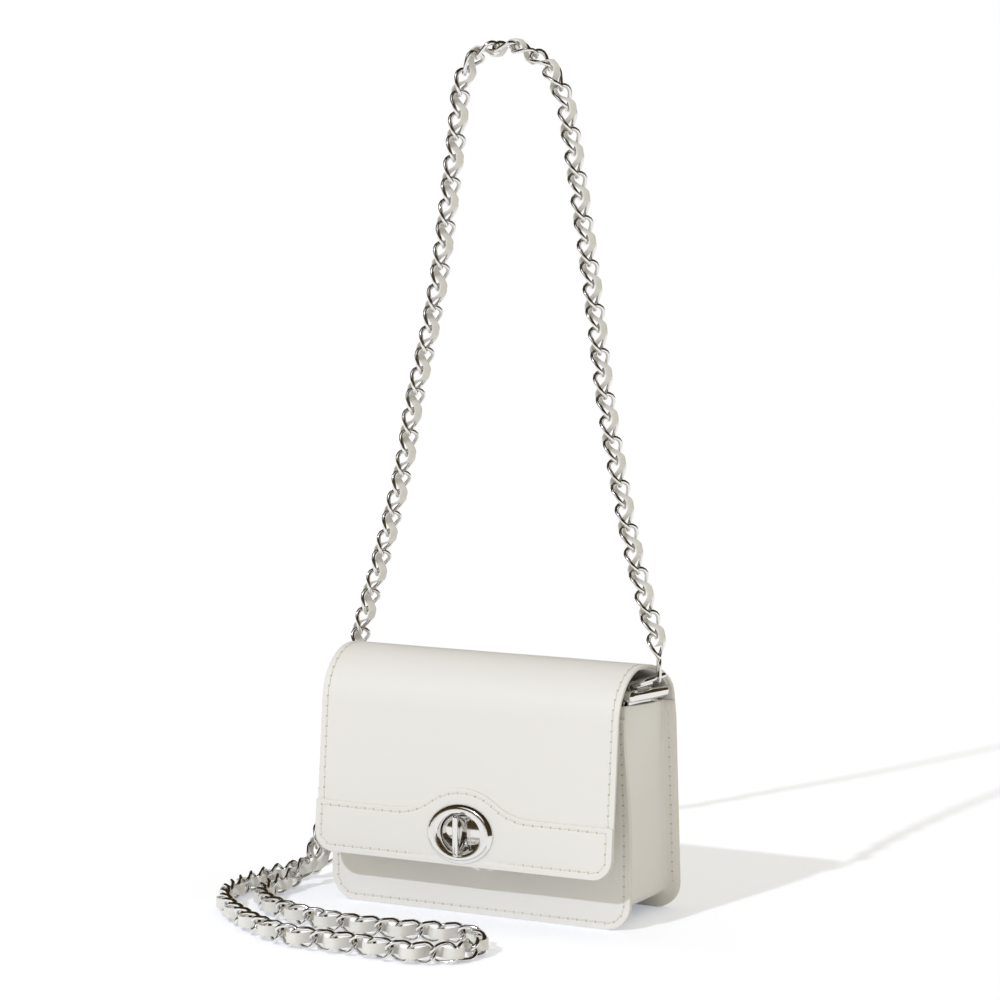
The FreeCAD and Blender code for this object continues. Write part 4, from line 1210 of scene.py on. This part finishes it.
    def shape(self, vert: bmesh.types.BMVert, share: float) -> None:
        """Lean, bow, pinch and tilt a point of the gusset.

        Args:
            vert: Point.
            share: Its share of the depth from front to back.
        """
        spot = vert.co
        spot.y = self.near + share * (self.back_face(spot.z) - self.near)
        if spot.z <= self.corner:
            return
        if not self.bowed(vert, share, self.web) and share < 0.5:
            spot.x = self.pinched(spot.x, spot.z)
        lift = max(0.0, (spot.z - self.tilt_low) / (self.gusset_top - self.tilt_low))
        spot.z += lift * (self.tilt_middle - spot.y) * math.tan(math.radians(self.top_tilt))

    def bowed(self, vert: bmesh.types.BMVert, share: float, side: float) -> bool:
        """Bow a point of a side wall inward, and swell it outward towards the top.

        Args:
            vert: Point.
            share: Its share of the depth from front to back.
            side: Distance of the side wall from the middle.

        Returns:
            Whether the point is on that wall.
        """
        if abs(abs(vert.co.x) - side) >= 0.01:
            return False
        climb = clamp((vert.co.z - self.corner) / (self.gusset_top - self.corner))
        middle = math.sin(math.pi * clamp(share))
        swell = self.swell * middle ** 0.6 * ease(vert.co.z, self.swell_low, self.gusset_top)
        inward = self.bow * middle * math.sin(math.pi * climb ** 0.8) - swell
        vert.co.x -= math.copysign(1.0, vert.co.x) * inward
        return True

    def build_lining(self) -> None:
        """Build the cloth tub inside the bag."""
        low, top, front, back = self.lining_low, self.lining_top, self.lining_front, self.lining_back
        bm = bmesh.new()
        half = self.lining_half
        corners = [(-half, low), (half, low), (half, top), (-half, top)]
        verts = [bm.verts.new((x, front, z)) for x, z in corners]
        bm.faces.new(verts)
        bmesh.ops.bevel(bm, geom=verts[:2], offset=self.lining_round, offset_type="OFFSET", segments=6,
                        profile=0.5, affect="VERTICES", material=-1)
        far = verts_of(bmesh.ops.extrude_face_region(bm, geom=bm.faces[:])["geom"])
        bmesh.ops.translate(bm, vec=(0.0, back - front, 0.0), verts=far)
        slice_at(bm, 2, spaced(low + self.lining_margin, top, self.lining_steps[1]))
        slice_at(bm, 1, spaced(front, back, self.lining_steps[0]))
        lid = [face for face in bm.faces if all(vert.co.z > top - 0.01 for vert in face.verts)]
        bmesh.ops.delete(bm, geom=lid, context="FACES")
        close(bm)
        for vert in bm.verts:
            share = (vert.co.y - front) / (back - front)
            vert.co.y -= share * (vert.co.z - low) * self.slope
            self.bowed(vert, share, half)
        piece = finish_piece(bm, "lining_tub", (CLOTH,))
        thicken(piece, self.cloth)
        seat(piece, Body.BAG, "lining")


@dataclass
class TurnLock:
    """Oval plate on the flap, domed base on the front panel, and the finned knob."""

    curve: FlapCurve
    height: float = 42.2
    front_y: float = -16.95
    plate: Flat = (17.5, 14.2)
    opening: Flat = (11.4, 9.7)
    plate_lift: float = 1.4
    plate_wall: float = 0.7
    plate_bevel: float = 1.5
    bevel_line: tuple[Flat, ...] = ((0.0, -0.1), (0.05, 0.05), (0.40, 0.50), (0.80, 0.90), (1.25, 1.25),
                                    (1.67, 1.46), (2.02, 1.5))
    lip_line: tuple[Flat, ...] = ((0.7, 0.0), (0.25, 0.08), (0.05, 0.3), (0.0, 0.6))
    sleeve: float = 4.0
    sleeve_wall: float = 0.8
    base: Flat = (13.0, 11.0)
    base_wall: float = 1.2
    base_edge: float = 0.3
    pedestal: Flat = (10.9, 9.2)
    pedestal_y: float = -33.0
    pedestal_edge: float = 0.5
    dome: Flat = (0.5, 2.0)
    dome_shares: tuple[float, ...] = (0.94, 0.85, 0.72, 0.58, 0.44, 0.30, 0.16)
    knob_ridge: float = -40.55
    knob_foot: float = -29.25
    knob_half: float = 10.1
    knob_neck: float = 8.5
    knob_flare: float = 0.9
    knob_base: float = 5.6
    knob_waist: float = 1.3
    knob_crest: float = 1.45
    knob_segments: int = 64
    knob_square: float = 5.0
    flank_shares: tuple[float, ...] = (0.0, 0.10, 0.22, 0.36, 0.50, 0.62, 0.72, 0.79)
    flank_end_share: float = 0.72
    head_waist: tuple[Triple, ...] = ((0.10, 0.7, 2.25), (0.22, 0.15, 1.9))
    head_crest: tuple[Triple, ...] = ((0.08, 0.0, 1.4), (0.0, 0.0, 0.9), (0.12, 0.22, 0.42),
                                      (0.45, 0.65, 0.12), (0.95, 1.3, 0.0))
    segments: int = 96

    def build(self) -> None:
        """Build the plate, the base and the knob."""
        self.build_plate()
        self.build_base()
        self.build_knob()

    def build_plate(self) -> None:
        """Turn the plate's section round its oval: wall, rounded bevel, flat ring and opening."""
        top = self.plate_wall + self.plate_bevel
        slope = [(0.0, 0.0)] + [(run, self.plate_wall + rise) for run, rise in self.bevel_line]
        lip = [(out, top - drop) for out, drop in self.lip_line]
        lip += [(0.0, -self.sleeve), (self.sleeve_wall, -self.sleeve), (self.sleeve_wall, 0.0)]
        loops = [(self.plate[0] - inset, self.plate[1] - inset, rise) for inset, rise in slope]
        loops += [(self.opening[0] + out, self.opening[1] + out, rise) for out, rise in lip]
        bm = bmesh.new()
        first, last = rings(bm, loops, self.segments)
        bmesh.ops.bridge_loops(bm, edges=first + last)
        close(bm)
        frame = self.curve.lock_frame(self.height, self.plate_lift)
        bmesh.ops.transform(bm, matrix=frame, verts=bm.verts[:])
        seat(finish_piece(bm, "lock_plate_ring", (NICKEL,), 32.0), Body.FLAP, "lock_plate")

    def stand(self, bm: Draft) -> None:
        """Stand a mesh on the front panel's face at the lock, with its Z to the front."""
        frame = Matrix.Translation((0.0, self.front_y, self.height)) @ Matrix.Rotation(math.pi / 2, 4, "X")
        bmesh.ops.transform(bm, matrix=frame, verts=bm.verts[:])

    def build_base(self) -> None:
        """Build the base plate with its domed pedestal."""
        (a, b), (pa, pb) = self.base, self.pedestal
        wall, edge, soft = self.base_wall, self.base_edge, self.pedestal_edge
        reach, near = self.front_y - self.pedestal_y, self.base_edge / 2
        loops = [(a, b, 0.0), (a, b, wall - edge), (a - edge, b - edge, wall), (pa + soft, pb + soft, wall),
                 (pa, pb, wall + soft), (pa, pb, reach - soft), (pa - near, pb - near, reach - near)]
        loops += [(pa * share, pb * share, reach) for share in self.dome_shares]
        bm = bmesh.new()
        first, last = rings(bm, loops, self.segments)
        for vert in bm.verts:
            if vert.co.z > wall + soft * 2:
                vert.co.z -= self.dome[0] * (vert.co.x / pa) ** 2 + self.dome[1] * (vert.co.y / pb) ** 2
        close(bm, first, last)
        self.stand(bm)
        seat(finish_piece(bm, "lock_base_dome", (NICKEL,), 38.0), Body.BAG, "lock_base")

    def build_knob(self) -> None:
        """Build the knob: a fin with hollow flanks, a longer rounded head and its neck."""
        foot, ridge = self.front_y - self.knob_foot, self.front_y - self.knob_ridge
        half, waist, crest = self.knob_half, self.knob_waist, self.knob_crest
        rows = []
        for share in self.flank_shares:
            wide = waist + (self.knob_base - waist) * max(0.0, 1 - share / self.flank_end_share) ** 2
            rows.append((wide, self.knob_neck + self.knob_flare * share, foot + (ridge - foot) * share))
        rows += [(waist + more, half - less, ridge - back) for more, less, back in self.head_waist]
        rows += [(crest - thin, half - less, ridge - back) for thin, less, back in self.head_crest]
        bm = bmesh.new()
        close(bm, *rings(bm, rows, self.knob_segments, self.knob_square))
        self.stand(bm)
        seat(finish_piece(bm, "lock_knob_fin", (NICKEL,), 45.0), Body.KNOB, "lock_knob")


@dataclass
class RingHardware:
    """Rounded bar on each gusset's top edge, with the knuckle that holds the ring."""

    x: float = 72.9
    y: float = 8.162
    leg: Triple = (1.14, 31.0, 6.0)
    leg_out: float = 1.23
    leg_round: float = 0.35
    bar: Triple = (7.2, 41.0, 5.6)
    bar_out: float = 2.6
    bar_round: float = 2.4
    bar_z: float = 108.6
    bar_tilt: float = -4.0
    knuckle: float = 2.7
    knuckle_edge: float = 0.35
    knuckle_length: float = 17.2
    bore: float = 1.27
    pivot: float = 112.7
    segments: int = 24

    def build(self) -> None:
        """Build a bar with its two legs and its knuckle on each side."""
        for side in Side:
            middle, name = self.x * side.value, side.name.lower()
            bm = bmesh.new()
            tilt = Matrix.Rotation(math.radians(self.bar_tilt), 4, "X")
            spot = Matrix.Translation((middle + self.bar_out * side.value, self.y, self.bar_z))
            self.join(bm, self.block(self.bar, self.bar_round), spot @ tilt)
            for way in (-1, 1):
                spot = (middle + way * self.leg_out, self.y, self.bar_z - self.leg[2] / 2)
                self.join(bm, self.block(self.leg, self.leg_round), Matrix.Translation(spot))
            spot = Matrix.Translation((middle, self.y - self.knuckle_length / 2, self.pivot))
            self.join(bm, self.barrel(), spot @ Matrix.Rotation(-math.pi / 2, 4, "X"))
            seat(finish_piece(bm, f"ring_bar_{name}", (NICKEL,)), Body.BAG, f"gusset_clip_{name}")

    @staticmethod
    def block(size: Triple, radius: float) -> Draft:
        """Make a block with rounded edges.

        Args:
            size: Its three sizes.
            radius: Radius of its edges.

        Returns:
            The block.
        """
        bm = bmesh.new()
        made = bmesh.ops.create_cube(bm, size=1.0)["verts"]
        bmesh.ops.scale(bm, vec=size, verts=made)
        bmesh.ops.bevel(bm, geom=bm.edges[:], offset=radius, offset_type="OFFSET", segments=5, profile=0.5,
                        affect="EDGES", material=-1)
        return bm

    def barrel(self) -> Draft:
        """Make the bored knuckle along Z.

        Returns:
            The knuckle.
        """
        wide, long, edge = self.knuckle, self.knuckle_length, self.knuckle_edge
        loops = [(self.bore, 0.0), (wide - edge, 0.0), (wide, edge), (wide, long - edge), (wide - edge, long),
                 (self.bore, long)]
        bm = bmesh.new()
        first, last = rings(bm, [(radius, radius, depth) for radius, depth in loops], self.segments)
        bmesh.ops.bridge_loops(bm, edges=first + last)
        close(bm)
        return bm

    @staticmethod
    def join(bm: Draft, part: Draft, frame: Matrix) -> None:
        """Add a mesh to another.

        Args:
            bm: Mesh to add to.
            part: Mesh to add, which is freed.
            frame: Where it goes.
        """
        mesh = bake(part, "joined_part")
        stamp(bm, mesh, frame)
        bpy.data.meshes.remove(mesh)


@dataclass
class StrapRun:
    """One stretch of the strap: its smooth line and the frame carried along it."""

    name: str
    route: list[Triple]
    count: int
    steps_per_link: int = 12

    def __post_init__(self) -> None:
        """Read the smooth line of the route in even steps, with its tangents."""
        line = self.smooth_line()
        gone = [0.0]
        for first, last in zip(line, line[1:]):
            gone.append(gone[-1] + (last - first).length)
        self.length = gone[-1]
        self.steps = self.count * self.steps_per_link
        self.points: list[Vector] = []
        place = 0
        for step in range(self.steps + 1):
            target = self.length * step / self.steps
            while place < len(line) - 2 and gone[place + 1] < target:
                place += 1
            share = (target - gone[place]) / max(gone[place + 1] - gone[place], 1e-9)
            self.points.append(line[place].lerp(line[place + 1], clamp(share)))
        around = [self.points[0], *self.points, self.points[-1]]
        self.tangents = [(after - before).normalized() for before, after in zip(around, around[2:])]
        self.across: list[Vector] = [Vector()] * (self.steps + 1)

    def smooth_line(self) -> list[Vector]:
        """Draw the spline whose control points are the route.

        Returns:
            Points of the spline.
        """
        data = bpy.data.curves.new(self.name + "_line", "CURVE")
        data.dimensions = "3D"
        data.resolution_u = 24
        spline = data.splines.new("NURBS")
        spline.points.add(len(self.route) - 1)
        for point, place in zip(spline.points, self.route):
            point.co = (*place, 1.0)
        spline.order_u = 3
        spline.use_endpoint_u = True
        holder = bpy.data.objects.new(self.name + "_line", data)
        bpy.context.scene.collection.objects.link(holder)
        mesh = read_mesh(holder)
        points = [vert.co.copy() for vert in mesh.vertices]
        bpy.data.meshes.remove(mesh)
        bpy.data.objects.remove(holder)
        bpy.data.curves.remove(data)
        return points

    def carry(self, start: int, direction: Vector) -> None:
        """Carry the ribbon's width direction along the line, both ways from a step.

        Args:
            start: Step to start from.
            direction: Width direction there.
        """
        for steps in (range(start, self.steps + 1), range(start, -1, -1)):
            current = direction.copy()
            for step in steps:
                tangent = self.tangents[step]
                current = (current - tangent * current.dot(tangent)).normalized()
                self.across[step] = current

    def turn(self, step: int, angle: float) -> None:
        """Turn the width direction at a step about the line."""
        self.across[step] = Matrix.Rotation(angle, 3, self.tangents[step]) @ self.across[step]

    def twist_start(self, direction: Vector, share: float) -> None:
        """Turn the first part of the line so that it starts with a given width direction.

        Args:
            direction: Width direction at the start.
            share: Share of the line over which the turn dies away.
        """
        tangent, first = self.tangents[0], self.across[0]
        offset = math.atan2(first.cross(direction).dot(tangent), first.dot(direction))
        offset = (offset + math.pi / 2) % math.pi - math.pi / 2
        reach = share * self.steps
        for step in range(int(reach)):
            self.turn(step, offset * (1 - step / reach))

    def turn_part(self, start: float, end: float, angle: float) -> None:
        """Turn the strap by an angle about its own line between two shares of its length."""
        for step in range(self.steps + 1):
            self.turn(step, math.radians(angle) * ease(step / self.steps, start, end))

    def frame(self, place: float) -> tuple[Vector, Vector, Vector, Vector]:
        """Find the strap's frame.

        Args:
            place: Place in pitches.

        Returns:
            Point, tangent, width direction and face direction.
        """
        step = min(max(round(place * self.steps_per_link), 0), self.steps)
        tangent, across = self.tangents[step], self.across[step]
        return self.points[step], tangent, across, tangent.cross(across)


@dataclass
class Strap:
    """Chain of oval links with a leather ribbon woven through it, in two stretches."""

    link_size: Triple = (1.05, 4.45, 1.83)
    end_size: Triple = (0.75, 3.35, 2.75)
    end_turns: Flat = (124.0, 50.0)
    twist: float = -45.0
    face_turn: float = 78.0
    top_turn: Triple = (0.42, 0.58, 24.0)
    ribbon_half: float = 2.45
    ribbon_thick: float = 0.4
    ribbon_line: tuple[Flat, ...] = ((0.0, 0.5), (0.35, 1.0), (1.65, 0.8))
    swing: float = 3.85
    turn_share: float = 0.37
    twist_share: float = 0.12
    width: float = 0.011
    right_end: Triple = (82.225, 9.000, 120.903)
    left_end: Triple = (-84.352, 7.972, 113.837)
    raised: tuple[Triple, ...] = (
        (82.2, 9.1, 131.0), (75.0, 9.6, 151.0), (66.2, 10.2, 181.0), (58.4, 10.8, 217.0),
        (52.0, 11.4, 249.0), (47.2, 12.2, 285.0), (41.2, 13.0, 322.0), (33.5, 14.0, 367.0),
        (28.5, 14.5, 391.5), (13.0, 15.0, 409.0), (-11.0, 15.0, 411.0), (-25.5, 15.5, 398.5),
        (-28.2, 16.0, 373.0), (-33.5, 17.0, 338.0), (-39.0, 18.0, 302.0), (-47.0, 19.0, 267.0),
        (-55.5, 20.2, 238.0), (-59.5, 21.2, 213.0), (-69.0, 22.6, 181.0), (-78.5, 24.0, 152.0),
        (-88.5, 25.5, 124.0), (-91.0, 26.0, 110.0))
    slack: tuple[Triple, ...] = (
        (-91.0, 26.0, 110.0), (-93.4, 26.4, 96.5), (-94.8, 26.8, 72.0), (-96.0, 27.0, 48.0),
        (-98.0, 26.5, 30.0), (-102.0, 24.0, 16.5), (-108.0, 18.5, 8.0), (-114.0, 9.5, 5.2),
        (-118.5, -3.0, 5.2), (-121.0, -19.0, 5.2), (-121.0, -37.0, 5.2), (-117.5, -54.0, 5.2),
        (-109.0, -70.0, 5.2), (-96.0, -84.0, 5.2), (-79.0, -97.5, 5.2), (-62.0, -108.5, 5.2),
        (-45.0, -115.0, 5.2), (-27.0, -115.8, 5.2), (-9.0, -114.8, 5.2), (9.0, -118.2, 5.2),
        (24.0, -116.5, 5.2), (36.5, -109.0, 5.2), (41.5, -94.0, 5.2), (34.5, -79.5, 5.2),
        (20.0, -74.5, 5.2), (2.0, -80.0, 5.2), (-17.0, -82.3, 5.2), (-36.0, -82.4, 5.2),
        (-54.0, -79.5, 5.2), (-72.0, -73.5, 5.2), (-88.0, -64.5, 5.2), (-99.5, -52.0, 5.2),
        (-104.8, -38.0, 5.2), (-106.0, -26.0, 5.2), (-105.0, -14.0, 5.8), (-103.0, -1.0, 11.0),
        (-100.0, 6.5, 24.0), (-97.5, 8.5, 42.0), (-96.0, 8.0, 66.0), (-94.5, 8.0, 88.0),
        (-90.5, 8.0, 104.5))
    raised_count: int = 61
    slack_count: int = 68

    def build(self) -> None:
        arch = StrapRun("arch", [self.right_end, *self.raised], self.raised_count)
        start = math.radians(self.face_turn)
        arch.carry(0, Vector((math.cos(start), math.sin(start), 0.0)))
        arch.turn_part(*self.top_turn)
        slack = StrapRun("slack", [*self.slack, self.left_end], self.slack_count)
        slack.carry(slack.steps // 2, Vector((0.0, 0.0, 1.0)))
        slack.twist_start(arch.across[-1], self.twist_share)
        arch_links = self.chain("raised_chain", arch, range(1, arch.count))
        arch_ribbon = self.ribbon("raised_ribbon", arch, 1, arch.count, 1)
        slack_links = self.chain("slack_chain", slack, range(0, slack.count))
        slack_ribbon = self.ribbon("slack_ribbon", slack, 0, slack.count - 1, arch.count + 1)
        right = self.end_link("end_link_right", arch, 0, self.end_turns[0])
        left = self.end_link("end_link_left", slack, slack.count, self.end_turns[1])
        seat(right, Body.STRAP, "strap_end_link_right")
        seat(left, Body.BAG, "strap_end_link_left")
        for piece, node in ((arch_links, "strap_arch_links"), (arch_ribbon, "strap_arch_ribbon")):
            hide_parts(node)
            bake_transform(piece)
        seat(slack_links, Body.BAG, "strap_slack_links")
        seat(slack_ribbon, Body.BAG, "strap_slack_ribbon")
        self.declare(arch)
        self.declare(slack)

    def declare(self, run: StrapRun) -> None:
        """Log the length of a stretch along its smooth line.

        Args:
            run: Its line.
        """
        LOG.info("%s stretch of %.3f m", run.name, run.length * MM)

    @staticmethod
    def link(wire: float, bend: float, straight: float, twist: float) -> bpy.types.Mesh:
        """Make one oval link of round wire, long along X and twisted about X.

        Args:
            wire: Radius of the wire.
            bend: Radius of the wire's line at the ends.
            straight: Half the length of the straight sides.
            twist: Angle by which each end is turned.

        Returns:
            The link in millimetres.
        """
        bm = bmesh.new()
        turn = Matrix.Translation((-straight, -bend, 0.0)) @ Matrix.Rotation(math.pi / 2, 4, "Y")
        made = bmesh.ops.create_circle(bm, cap_ends=False, segments=8, radius=wire, matrix=turn)
        edges = edges_at(made["verts"])
        for way in (1, -1):
            edges = push(bm, edges, (2 * straight * way, 0.0, 0.0))
            edges = spun(bm, edges, (straight * way, 0.0, 0.0), (0.0, 0.0, 1.0), math.pi, 9)
        bmesh.ops.remove_doubles(bm, verts=bm.verts[:], dist=0.01)
        close(bm)
        for vert in bm.verts:
            share = max(-1.0, min(1.0, vert.co.x / (straight + bend)))
            vert.co = Matrix.Rotation(math.radians(twist) * share, 3, "X") @ vert.co
        return bake(bm, "strap_link")

    @staticmethod
    def linked(name: str, link: bpy.types.Mesh, frames: Iterable[Matrix]) -> Piece:
        """Make a piece of equal links.

        Args:
            name: Name of the piece.
            link: Mesh of one link, which is deleted.
            frames: Where the links go.

        Returns:
            The piece.
        """
        bm = bmesh.new()
        for frame in frames:
            stamp(bm, link, frame)
        bpy.data.meshes.remove(link)
        return finish_piece(bm, name, (NICKEL,), 70.0)

    def chain(self, name: str, run: StrapRun, places: range) -> Piece:
        """Twisted links of a stretch at places in pitches, all alike."""
        link = self.link(*self.link_size, self.twist)
        return self.linked(name, link, (frame_at(*run.frame(place)) for place in places))

    def end_link(self, name: str, run: StrapRun, place: int, angle: float) -> Piece:
        """Make the bare link that joins an end of the strap to its ring.

        Args:
            name: Name of the piece.
            run: Line of the stretch.
            place: Place in pitches.
            angle: Turn about the strap's line, from the side of the bag.

        Returns:
            The link.
        """
        point, tangent, _, _ = run.frame(place)
        side = Vector((0.0, 1.0, 0.0)).cross(tangent).normalized()
        side = Matrix.Rotation(math.radians(angle), 3, tangent) @ side
        frame = frame_at(point, tangent, side, tangent.cross(side))
        return self.linked(name, self.link(*self.end_size, 0.0), [frame])

    def ribbon(self, name: str, run: StrapRun, first: int, last: int, phase: int) -> Piece:
        """Sweep the ribbon, which swings to alternate sides of the joints between links.

        Args:
            name: Name of the piece.
            run: Line of the stretch.
            first: First place in pitches.
            last: Last place in pitches.
            phase: Count of links before the stretch.

        Returns:
            The ribbon.
        """
        left = [(inset - self.ribbon_half, -rise) for inset, rise in self.ribbon_line]
        lower = left + [(-a, b) for a, b in reversed(left)]
        section = [(a, b * self.ribbon_thick) for a, b in lower + [(-a, -b) for a, b in lower]]
        bm = bmesh.new()
        order = [bm.verts.new((a, b, 0.0)) for a, b in section]
        edges = opening = [bm.edges.new((order[number - 1], order[number])) for number in range(len(order))]
        start = first * run.steps_per_link
        for step in range(start, last * run.steps_per_link + 1):
            if step > start:
                made = bmesh.ops.extrude_edge_only(bm, edges=edges)["geom"]
                edges, fresh = edges_of(made), set(verts_of(made))
                order = [next(edge.other_vert(vert) for edge in vert.link_edges
                              if edge.other_vert(vert) in fresh) for vert in order]
            place = step / run.steps_per_link
            point, _, across, face = run.frame(place)
            centre = point + face * self.swing_at(place, phase)
            for vert, (a, b) in zip(order, section):
                vert.co = centre + across * a + face * b
        close(bm, opening, edges)
        # The ribbon takes the white leather painted lighter: painted light.
        return finish_piece(bm, name, (RIBBON_PAINTED_LIGHTER,), 60.0)

    def swing_at(self, place: float, phase: int) -> float:
        """Find how far the ribbon is from the chain's middle line.

        Args:
            place: Place in pitches.
            phase: Count of links before the stretch.

        Returns:
            Distance towards the chain's face.
        """
        number = math.floor(place)
        share = place - number
        rise = min(1.0, min(share, 1.0 - share) / self.turn_share)
        way = 1.0 if (number + phase) % 2 else -1.0
        return way * self.swing * math.sin(rise * math.pi / 2)


@dataclass
class Studio:
    """White floor, sun, sky and the camera at the photograph's angle."""

    eye: Triple = (0.78906, -1.4949, 0.38656)
    target: Triple = (-0.0033, 0.0118, 0.1955)
    lens: float = 129.2
    sensor: float = 36.0
    view_depth: float = 20.0
    sun_way: Triple = (0.24, 1.30, -1.0)
    sun_strength: float = 1.30
    sun_angle: float = 1.6
    sun_tint: Triple = (0.86, 0.895, 1.0)
    sky: float = 0.60
    sky_tint: Triple = (1.0, 0.95, 0.82)
    room: tuple[Flat, ...] = ((0.0, 0.08), (0.05, 0.05), (0.30, 0.035), (0.70, 0.03), (0.90, 0.02),
                              (1.0, 0.02))
    room_tint: Triple = (1.35, 0.90, 0.40)
    window: Flat = (0.93, 0.96)
    floor_half: float = 6.0
    floor_drop: float = 0.00005
    floor_colour: float = 0.97
    floor_fill: float = 0.295
    fill_tint: Triple = (0.765, 0.83, 1.0)

    def build(self) -> None:
        """Set up the picture."""
        scene = bpy.context.scene
        scene.view_settings.view_transform = "Standard"
        camera = bpy.data.cameras.new("camera")
        camera.lens = self.lens
        camera.sensor_width = self.sensor
        camera.clip_end = self.view_depth
        sight = Vector(self.target) - Vector(self.eye)
        scene.camera = self.place(camera, sight)
        scene.camera.location = self.eye
        sun = bpy.data.lights.new("sun", "SUN")
        sun.energy = self.sun_strength
        sun.color = self.sun_tint
        sun.angle = math.radians(self.sun_angle)
        self.place(sun, Vector(self.sun_way))
        self.build_sky(scene)
        self.build_floor()

    @staticmethod
    def place(data: bpy.types.ID, way: Vector | None = None) -> Piece:
        """Add an object to the scene.

        Args:
            data: Camera, lamp or mesh.
            way: Direction that it looks in.

        Returns:
            The object.
        """
        made = bpy.data.objects.new(data.name, data)
        if way is not None:
            made.rotation_euler = way.to_track_quat("-Z", "Y").to_euler()
        bpy.context.scene.collection.objects.link(made)
        return made

    def build_sky(self, scene: bpy.types.Scene) -> None:
        """Show white to the camera, light with an even sky, and put a dark room with a window in the metal.

        Args:
            scene: Scene that gets the world.
        """
        scene.world = bpy.data.worlds.new("studio_sky")
        shader = Shader(scene.world)
        shader.tree.nodes.clear()
        way = shader.add("TexCoord").outputs["Generated"]
        stops = [(spot, [level * part for part in self.room_tint]) for spot, level in self.room]
        bands = shader.ramp(shader.add("SeparateXYZ", Vector=way).outputs["Z"], stops)
        near = shader.pair("VectorMath", "DOT_PRODUCT", way, -Vector(self.sun_way).normalized())
        low, high = self.window
        glow = shader.add("MapRange", Value=near.outputs["Value"], From_Min=low, From_Max=high)
        white = (1.0, 1.0, 1.0, 1.0)
        room = shader.add("Mix", data_type="RGBA", Factor=glow.outputs["Result"], A=bands, B=white)
        rays = shader.add("LightPath").outputs
        light = shader.add("Background", Color=(*self.sky_tint, 1.0), Strength=self.sky).outputs[0]
        for ray, colour in (("Is Glossy Ray", room.outputs["Result"]), ("Is Camera Ray", white)):
            seen = shader.add("Background", Color=colour).outputs[0]
            mix = shader.add("MixShader")
            for socket, source in zip(mix.inputs, (rays[ray], light, seen)):
                shader.tree.links.new(source, socket)
            light = mix.outputs[0]
        shader.add("OutputWorld", Surface=light)

    def build_floor(self) -> None:
        """Lay the floor, filled up to white for the camera and in the metal."""
        bm = bmesh.new()
        bmesh.ops.create_grid(bm, x_segments=8, y_segments=8, size=self.floor_half)
        bmesh.ops.translate(bm, vec=(0.0, 0.0, -self.floor_drop), verts=bm.verts[:])
        mesh = bake(bm, "floor")
        paper = bpy.data.materials.new("floor_paper")
        shader = Shader(paper)
        rays = shader.add("LightPath").outputs
        seen = shader.pair("Math", "MAXIMUM", rays["Is Camera Ray"], rays["Is Glossy Ray"]).outputs[0]
        fill = shader.pair("Math", "MULTIPLY", seen, self.floor_fill).outputs[0]
        shader.set(Base_Color=(*[self.floor_colour] * 3, 1.0), Roughness=1.0, Specular_IOR_Level=0.0,
                   Emission_Color=(*self.fill_tint, 1.0), Emission_Strength=fill)
        mesh.materials.append(paper)
        self.place(mesh)


def dress_nodes(frame: dict) -> None:
    """Give every CAD node the finish of its material slot.

    Args:
        frame: The loaded frame.
    """
    slots = {part["node"]: part["material_slot"] for part in frame["record"]["subparts"]}
    for name, node in frame["nodes"].items():
        for slot in node.material_slots:
            slot.material = NODE_FINISHES[slots[name]].material()


def main() -> None:
    """Build the bag's pieces and the studio."""
    logging.basicConfig(level=logging.INFO, format="%(name)s: %(message)s")
    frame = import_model()
    dress_nodes(frame)
    curve = FlapCurve()
    stitching = Stitching()
    Strap().build()
    BagBody(stitching).build()
    Flap(curve, stitching).build()
    TurnLock(curve).build()
    RingHardware().build()
    Studio().build()


if __name__ == "__main__":
    main()
